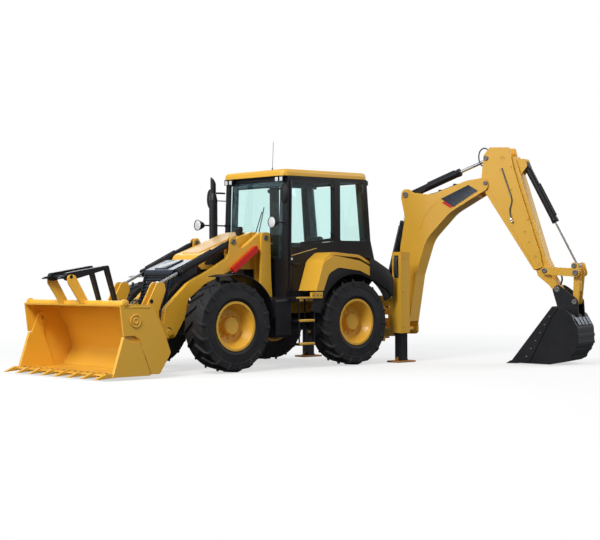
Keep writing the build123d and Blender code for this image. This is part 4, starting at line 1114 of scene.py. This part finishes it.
def ramTrim(name, body, start, end, length, radius, sides, turn=None):
    # gland nut where the rod leaves its barrel, ports, and a steel pipe held along the barrel
    run = Vector((end[0] - start[0], 0, end[1] - start[1])).normalized()
    rise = Vector((-run.z, 0, run.x))
    rise = rise if rise.z > 0 else -rise
    parts = []
    for y in sides:
        foot = Vector((start[0], y, start[1]))
        top = foot + run * length
        parts.append(rod("gland", top - run * 0.055, top - run * 0.003, radius + 0.006, 8, (0.002, 1),
                         (towards(run), inset(0.006), push(*run * 0.003))))
        for back in (portsFrom[0], length * portsFrom[1]):
            place = top - run * back
            parts.append(smooth(startRod("port", place, place + rise * (radius + 0.01), 0.015, 12,
                                         (towards(rise), inset(0.003), push(*rise * 0.004)))))
        line = rise * (radius + 0.009)
        parts.append(smooth(startRod("barrelPipe", top - run * (length * portsFrom[1]) + line,
                                     top - run * portsFrom[0] + line, 0.0075, 10)))
    piece = joinPieces(parts, f"{name}Trim")
    if turn:
        piece.data.transform(turn)
    return dress(piece, "blackPaint", body)


def makeForkTips():
    # short worn ends ahead of the fork hanger, dark stems with pale tips
    stems, tips = [], []
    for y in forkTips["places"]:
        wide = forkTips["stemWide"]
        stems.append(block("forkStem", (4.44, y - wide, 1.325), (4.565, y + wide, 1.36), (0.004, 2),
                           (frontFace, grow(1, 0.85, 0.8), slide(0, 0, -0.012))))
        wide = forkTips["tipWide"]
        tips.append(block("forkTip", (4.563, y - wide, 1.314), (4.6, y + wide, 1.342), (0.004, 2),
                          (frontFace, grow(1, 0.6, 0.5), slide(0, 0, -0.006))))
    dress(joinPieces(stems, "forkStems"), "blackPaint", "pallet_forks")
    dress(joinPieces(tips, "forkTips"), "wornSteel", "pallet_forks")


makeLoaderPins()
makeBucketTrim()
makeClamEdge()
makeLoaderHoses()
makeForkTips()
ramTrim("tiltRam", "tilt_barrels", loader["hump"], loader["tip"], 1.065, 0.05, loader["ramSides"])
ramTrim("liftRam", "lift_barrels", *loader["liftRam"], 1.035, 0.04, loader["ramSides"])
print("loader dressed")


# hood and nose: vents, mesh, seams and the intake
hood = {
    "half": 0.33, "meshStep": 0.03, "meshBar": 0.0035, "meshHalf": 0.25,
    "noseLean": (2.95 - 2.812, 1.43 - 0.86),  # the grille's run back and up
    "ventFoot": (1.488, 1.502), "ventBack": (1.872, 1.886), "ventFront": 2.255, "ventTop": (1.716, 1.73),
}


def meshPanel(name, low, high, step, bar):
    # woven screen of thin bars between two corners in a plane of y and z
    low, high = Vector(low), Vector(high)
    upright = block("screenBar", (low.x, low.y, low.z), (low.x + bar, low.y + bar, high.z), (bar * 0.3, 1))
    level = block("screenRow", (low.x + bar, low.y, low.z), (low.x + 2 * bar, high.y, low.z + bar),
                  (bar * 0.3, 1))
    bars = [copyPiece(upright, "barCopy", Matrix.Translation((0, k * step, 0)))
            for k in range(int((high.y - low.y) / step) + 1)]
    bars += [copyPiece(level, "rowCopy", Matrix.Translation((0, 0, k * step)))
             for k in range(int((high.z - low.z) / step) + 1)]
    discard(upright, level)
    return joinPieces(bars, name)


def makeNoseTrim():
    low, high = (Vector(c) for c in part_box("grille"))
    lean, half = math.atan2(*hood["noseLean"]), hood["meshHalf"]
    middle = (low + high) / 2
    screen = meshPanel("noseScreen", (-0.002, low.y + 0.06, -half), (0.002, high.y - 0.06, half),
                       hood["meshStep"], hood["meshBar"])
    place = Matrix.Translation((middle.x - 0.014, 0, middle.z))
    screen.data.transform(place @ Matrix.Rotation(-lean, 4, "Y"))
    dress(screen, "moulding", "chassis")
    # raised spine on the nose's top
    dress(block("noseSpine", (2.47, -0.14, 1.545), (2.5, 0.14, 1.572), (0.005, 2),
                (frontFace, push(0.28, 0, -0.115)), (facing(2, 1, 0.7), inset(0.02, 0.006))), "bluePanel",
          "chassis")


def makeHoodTrim():
    pieces, dark = [], []
    for sign in (-1, 1):
        y = sign * (hood["half"] + 0.001)
        out = 0.006 * sign
        lowY, highY = sorted((y - out, y + out))
        # frame round the side vent, and the dark sheet in it: the vent's grille and the painted shade of the
        # opening behind it
        (foot, sill), (back, post), (head, top) = hood["ventFoot"], hood["ventBack"], hood["ventTop"]
        pieces.append(block("ventFrame", (1.88, lowY, foot), (hood["ventFront"], highY, sill), (0.003, 1)))
        pieces.append(block("ventPost", (back, lowY, foot), (post, highY, 1.72), (0.003, 1)))
        pieces.append(block("ventTop", (back, lowY, head), (post, highY, top), (0.003, 1),
                            (frontFace, push(0.33, 0, -0.115), push(0.045, 0, -0.1))))
        lowY, highY = sorted((sign * (hood["half"] - 0.004), sign * (hood["half"] + 0.003)))
        dark.append(block("ventGrilleShade", (1.886, lowY, 1.5), (1.9, highY, 1.712), (0.002, 1),
                          (frontFace, push(0.3, 0, -0.052), grow(1, 1, 0.48), push(0.05, 0, -0.012),
                           grow(1, 1, 0.3))))
        dark.append(block("hoodSeam", (1.375, lowY, 1.45), (1.383, highY - 0.001 * (sign > 0), 1.97),
                          (0.001, 1)))
    dress(joinPieces(pieces, "ventFrames"), "yellowPaint", "chassis")
    dress(joinPieces(dark, "ventSheets"), "moulding", "chassis")
    # ridge along the hood's top, pale: painted highlight
    dress(block("hoodRidge", (1.4, -0.2, 1.965), (1.44, 0.2, 1.985), (0.006, 2),
                (frontFace, push(0.8, 0, -0.298)), (facing(2, 1, 0.7), inset(0.03, 0.004))), "hoodPaintedHighlight",
          "chassis")
    dress(rod("intakeCap", (1.5, 0.2, 1.93), (1.5, 0.2, 2.03), 0.045, 24, (0.005, 2),
              (topFace, grow(1.35, 1.35, 1), push(0, 0, 0.03), grow(0.8, 0.8, 1), inset(0.01, 0.006))),
          "moulding", "chassis")


makeNoseTrim()
makeHoodTrim()
print("hood dressed")


# backhoe: worked in the boom's own upright plane, then swung round the kingpost
backhoe = {
    "kingpost": (-1.48, 0.2), "heading": 108, "boomFace": 0.17, "stickFace": 0.14, "leverFace": 0.188,
    "earFace": 0.153, "bucketFace": 0.382, "hump": (0.505, 2.613), "tip": (1.866, 2.743), "lean": 17.5,
    "panelFoot": (1.334, 2.397), "panelRun": (0.415, 0.233), "panelRise": (-0.22, 0.132),
    "boomFoot": (0.47, 0.49), "boomTip": (1.862, 2.745), "ramFoot": (0.02, 0.77),
    # places down the stick and out from it: ram eyes, lever and bucket pins
    "stickRam": (-0.37, 0.114), "curlFoot": (-0.089, 0.65), "curlTip": (1.64, 0.965),
    "sliderPin": (1.569, 0.5), "leverPin": (1.745, 0.95), "bucketPin": (1.893, 0.59),
    "linkPin": (2.148, 0.79),
    "longBead": ((1.06, 2.49), (0.96, 2.41), (0.86, 2.3), (0.79, 2.17), (0.75, 2.05)),
    "footBead": ((0.42, 0.95), (0.56, 0.93)),
    "pipes": (-0.125, -0.095, 0.095, 0.125), "clamps": ((1.08, 2.655), (1.33, 2.74)),
    "pipe": ((0.9, 2.607), (1.0, 2.622), (1.1, 2.655), (1.25, 2.705), (1.37, 2.745), (1.43, 2.752),
             (1.46, 2.742)),
}
stick = {
    # holes: place down the stick and out from it, radius
    "holes": ((-0.291, 0.366, 0.024), (0.74, 0.47, 0.012), (0.906, 0.366, 0.014), (1.071, 0.383, 0.014),
              (1.313, 0.414, 0.014), (1.44, 0.431, 0.014), (-0.11, 0.455, 0.012), (-0.123, 0.283, 0.012),
              (0.218, 0.353, 0.012)),
    "bead": ((0.1, 0.02), (1.46, 0.345)),
    "pipe": ((-0.137, 0.315), (-0.02, 0.318), (0.18, 0.322), (0.36, 0.33), (0.43, 0.3), (0.5, 0.246),
             (0.6, 0.226), (0.68, 0.226)),
    "loop": ((1.86, 2.985), (1.79, 3.01), (1.747, 3.08), (1.735, 3.17), (1.757, 3.25), (1.82, 3.292),
             (1.88, 3.275), (1.91, 3.235)),
    "bend": ((1.58, 0.555), (1.62, 0.62), (1.7, 0.66), (1.78, 0.64), (1.84, 0.585)),
}
digTrim = {
    "slopeFoot": (3.378, 0, 0.59), "slope": -29,
    "plates": ((-0.3, -0.17), (-0.13, -0.02), (0.02, 0.13), (0.17, 0.3)),
    "bolts": 6, "firstBolt": (2.6, 0.115), "boltStep": (0.072, 0.12),
}
swing = Matrix.Rotation(math.radians(backhoe["heading"]), 4, "Z")
swing = Matrix.Translation((*backhoe["kingpost"], 0)) @ swing


def stickPlace(down, out):
    lean, (x, z) = math.radians(backhoe["lean"]), backhoe["tip"]
    return x + down * math.sin(lean) + out * math.cos(lean), z - down * math.cos(lean) + out * math.sin(lean)


def swung(pieces, name, finish, body):
    piece = joinPieces(pieces, name)
    piece.data.transform(swing)
    return dress(piece, finish, body)


def pinPair(place, face, radius, height=0.012):
    # a head on each side of the middle plane
    return [pinHead("pinHead", (place[0], sign * (face - 0.0006), place[1]), (0, sign, 0), radius, height)
            for sign in (-1, 1)]


def flatBar(name, places, face, width, thick):
    # a thin bar laid on a face from place to place, as straight runs that overlap
    bars = []
    for here, there in zip(places, places[1:]):
        run = Vector((there[0] - here[0], 0, there[1] - here[1]))
        low, high = sorted((face, face + thick))
        bar = block(name, (-width / 3, low, -width / 2), (run.length + width / 3, high, width / 2),
                    (min(abs(thick), width) * 0.3, 1))
        bar.data.transform(Matrix.Translation((here[0], 0, here[1])) @
                           Matrix.Rotation(-math.atan2(run.z, run.x), 4, "Y"))
        bars.append(bar)
    return bars


def makeBoomPanel():
    # bare dark panel on the boom's side, with a red corner
    foot, run, rise = (Vector((p[0], 0, p[1])) for p in
                       (backhoe["panelFoot"], backhoe["panelRun"], backhoe["panelRise"]))
    face = -backhoe["boomFace"]
    skew = Matrix(((run.x, 0, rise.x, foot.x), (0, 1, 0, 0), (run.z, 0, rise.z, foot.z), (0, 0, 0, 1)))
    panel = startBlock("boomPanel", (0, face - 0.004, 0), (1, face + 0.002, 1),
                       (frontFace, grow(1, 1, 0.72), slide(0, 0, -0.1)))
    panel.data.transform(skew)
    edit(panel, rightFace, inset(0.012, -0.001))
    soften(panel, 0.0015, 1)
    swung([panel], "boomPanel", "bluePanel", "boom")
    corner = startBlock("boomCorner", (0, face - 0.005, 0), (1, face + 0.002, 1))
    corner.data.transform(skew @ Matrix.Translation((-0.105, 0, 0.06)) @ Matrix.Diagonal((0.105, 1, 0.66, 1)))
    swung([soften(corner, 0.001, 1)], "boomCorner", "redPaint", "boom")


def makeBackhoePins():
    face, lever, ear = backhoe["boomFace"], backhoe["leverFace"], backhoe["earFace"]
    rows = (
        ("boomPins", "boom", ((backhoe["hump"], face, 0.048), (backhoe["boomTip"], face, 0.034),
                              (backhoe["boomFoot"], 0.1705, 0.05, 0.006))),
        ("stickPins", "stick", ((stickPlace(*backhoe["stickRam"]), backhoe["stickFace"], 0.04),)),
        ("sliderPins", "stick_slider", ((stickPlace(*backhoe["sliderPin"]), lever, 0.04, 0.01),)),
        ("leverPins", "lever", ((stickPlace(*backhoe["leverPin"]), lever, 0.044),
                                (stickPlace(*backhoe["curlTip"]), lever, 0.036))),
        ("earPins", "dig_bucket", ((stickPlace(*backhoe["bucketPin"]), ear, 0.044, 0.0035),
                                   (stickPlace(*backhoe["linkPin"]), ear, 0.04, 0.0035))),
    )
    for name, body, pins in rows:
        swung([head for pin in pins for head in pinPair(*pin)], name, "greyIron", body)


def swungPath(places, y):
    return [swing @ Vector((x, y, z)) for x, z in places]


def makeBoomLines():
    # weld beads on both faces, and the four pipes that run over the boom to the stick's ram
    bead = []
    for sign in (-1, 1):
        face = sign * backhoe["boomFace"] - 0.001 * sign
        bead += flatBar("boomBead", backhoe["longBead"], face, 0.007, 0.0035 * sign)
        bead += flatBar("boomBead", backhoe["footBead"], face, 0.008, 0.004 * sign)
    swung(bead, "boomBeads", "yellowPaint", "boom")
    for k, t in enumerate(backhoe["pipes"]):
        tube(f"boomPipe{k}", swungPath(backhoe["pipe"], t), 0.01, "moulding", "boom", 5)
    clamps = []
    for x, z in backhoe["clamps"]:
        for t in (-0.11, 0.11):
            clamps.append(block("clamp", (x - 0.02, t - 0.034, z - 0.022), (x + 0.02, t + 0.034, z + 0.02),
                                (0.006, 2)))
    swung(clamps, "boomClamps", "moulding", "boom")


def makeStickTrim():
    face = -backhoe["stickFace"]
    holes, rings = [], []
    for down, out, radius in stick["holes"]:
        x, z = stickPlace(down, out)
        for sign in (-1, 1):
            y = sign * backhoe["stickFace"]
            rings.append(rod("holeRing", (x, y - 0.001 * sign, z), (x, y + 0.003 * sign, z), radius * 1.9, 24,
                             (0.001, 1), (facing(1, sign), inset(radius * 0.5))))
            # dark disc sunk in each hole: painted shade inside it
            holes.append(smooth(startRod("holeShade", (x, y, z), (x, y + 0.0042 * sign, z), radius, 20,
                                         (facing(1, sign), inset(radius * 0.25, -0.002)))))
    for sign in (-1, 1):
        y = sign * (backhoe["stickFace"] - 0.001)
        rings += flatBar("stickBead", [stickPlace(*p) for p in stick["bead"]], y, 0.006, 0.003 * sign)
    swung(rings, "stickRings", "yellowPaint", "stick")
    swung(holes, "stickHoleShades", "moulding", "stick")
    tube("stickPipe", swungPath([stickPlace(*p) for p in stick["pipe"]], face - 0.012), 0.01, "wornSteel",
         "stick", 6)
    x, z = stickPlace(0.7, 0.227)
    fitting = startRod("stickFitting", (x, face - 0.002, z), (x, face - 0.032, z), 0.026, 6,
                       (rightFace, grow(0.8, 1, 0.8), inset(0.006), push(0, -0.008, 0)))
    x, z = stickPlace(0.66, 0.226)
    nut = startBlock("stickNut", (x - 0.016, face - 0.03, z - 0.03), (x + 0.016, face + 0.001, z + 0.02))
    swung([soften(fitting, 0.002, 2), soften(nut, 0.005, 2)], "stickFitting", "chromeRod", "stick")
    for k, t in enumerate((-0.127, 0.127)):
        tube(f"stickLoop{k}", swungPath(stick["loop"], t), 0.0105, "hoseGrey", "stick", 6)
    tube("sliderHose", swungPath([stickPlace(*p) for p in stick["bend"]], 0.045), 0.013, "hoseGrey",
         "stick_slider", 6)


def makeDigTrim():
    # bluish worn plates on the bucket's back, and bolts along its side cutters
    plates = []
    slope = Matrix.Rotation(math.radians(digTrim["slope"]), 4, "Y")
    slope = Matrix.Translation(digTrim["slopeFoot"]) @ slope
    for low, high in digTrim["plates"]:
        plate = block("backPlate", (0.002, low, -0.01), (0.014, high, 0.125), (0.003, 2),
                      (frontFace, inset(0.012, 0.002)))
        plate.data.transform(slope)
        plates.append(plate)
    swung(plates, "backPlates", "wornSteel", "dig_bucket")
    bolts = []
    (x, z), (along, rise) = digTrim["firstBolt"], digTrim["boltStep"]
    for k in range(digTrim["bolts"]):
        for sign in (-1, 1):
            y = sign * backhoe["bucketFace"]
            foot = Vector((x + along * k, y, z + rise * k))
            bolts.append(rod("cutterBolt", foot - Vector((0, 0.001 * sign, 0)),
                             foot + Vector((0, 0.008 * sign, 0)), 0.014, 6, (0.001, 1),
                             (facing(1, sign), inset(0.004, 0.001))))
    swung(bolts, "cutterBolts", "greyIron", "dig_bucket")


makeBoomPanel()
makeBackhoePins()
makeBoomLines()
makeStickTrim()
makeDigTrim()
stickRam, curlFoot, curlTip = (stickPlace(*backhoe[key]) for key in ("stickRam", "curlFoot", "curlTip"))
ramTrim("boomRam", "boom_barrel", backhoe["ramFoot"], backhoe["hump"], 1.48, 0.064, (0,), swing)
ramTrim("stickRam", "stick_barrel", backhoe["hump"], stickRam, 0.935, 0.058, (0,), swing)
ramTrim("curlRam", "curl_barrel", curlFoot, curlTip, 1.01, 0.052, (0,), swing)
print("backhoe dressed")


# stabilisers: opening with its hoses, pins, and the worn pads
stabiliser = {
    "x": -1.01, "y": 1.07, "half": 0.095, "pad": (0.19, 0.12, 0.025), "pins": (0.56, 1.1, 1.62),
    # each hose's place across and its foot, then the run: out from the casing, share across, height
    "hoses": ((-0.03, 1.3), (0.0, 1.34), (0.03, 1.31)),
    "run": ((0.002, 1, 1.62), (0.024, 1, 1.6), (0.03, 0.6, 1.52), (0.026, 1.1, 1.43)),
}


def makeStabilisers():
    x, y, half = stabiliser["x"], stabiliser["y"], stabiliser["half"]
    front = x + half
    pieces = [block("casingFrame", (front - 0.001, y - 0.062, 1.28), (front + 0.008, y + 0.062, 1.66),
                    (0.002, 2), (frontFace, inset(0.014), push(-0.006, 0, 0)))]
    for z in stabiliser["pins"]:
        pieces.append(pinHead("casingPin", (x + 0.055, y + half - 0.001, z), (0, 1, 0), 0.02, 0.008, 20))
    left = joinPieces(pieces, "casingTrimLeft")
    # dark sheet in the casing's opening: painted shade inside it
    holeShade = block("casingHoleShade", (front + 0.001, y - 0.046, 1.296), (front + 0.0035, y + 0.046, 1.644),
                 (0.001, 1))
    width, deep, tall = stabiliser["pad"]
    shoe = block("padShoeLeft", (x - width - 0.002, y - deep - 0.002, 0.0005),
                 (x + width + 0.002, y + deep + 0.002, tall + 0.002), (0.005, 2),
                 (topFace, inset(0.012), push(0, 0, -0.0015), inset(0.07)))
    shoe = joinPieces([shoe, block("padRib", (x - 0.16, y - 0.008, tall), (x + 0.16, y + 0.008, tall + 0.055),
                                   (0.003, 1), (topFace, grow(0.55, 1, 1)))], "padShoeLeft")
    for piece, name, finish, body, slot in (
            (left, "casingTrim", "yellowPaint", "chassis", "yellow_paint"),
            (holeShade, "casingHoleShade", "moulding", "chassis", "black_plastic"),
            (shoe, "padShoe", "padRust", "stabiliser", None)):
        other = copyPiece(piece, f"{name}Right", mirrorY)
        piece.name = f"{name}Left"
        dress(piece, finish, body if body == "chassis" else f"{body}_left")
        dress(other, finish, body if body == "chassis" else f"{body}_right")
    for sign, side in ((1, "Left"), (-1, "Right")):
        for k, (shift, foot) in enumerate(stabiliser["hoses"]):
            run = stabiliser["run"] + ((0.022, 0.8, foot + 0.03), (0.002, 1, foot))
            places = [(front + out, sign * (y + shift * share), z) for out, share, z in run]
            tube(f"casingHose{side}{k}", places, 0.01, "hoseGrey", "chassis", 5)


makeStabilisers()
print("stabilisers dressed")

low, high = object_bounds()
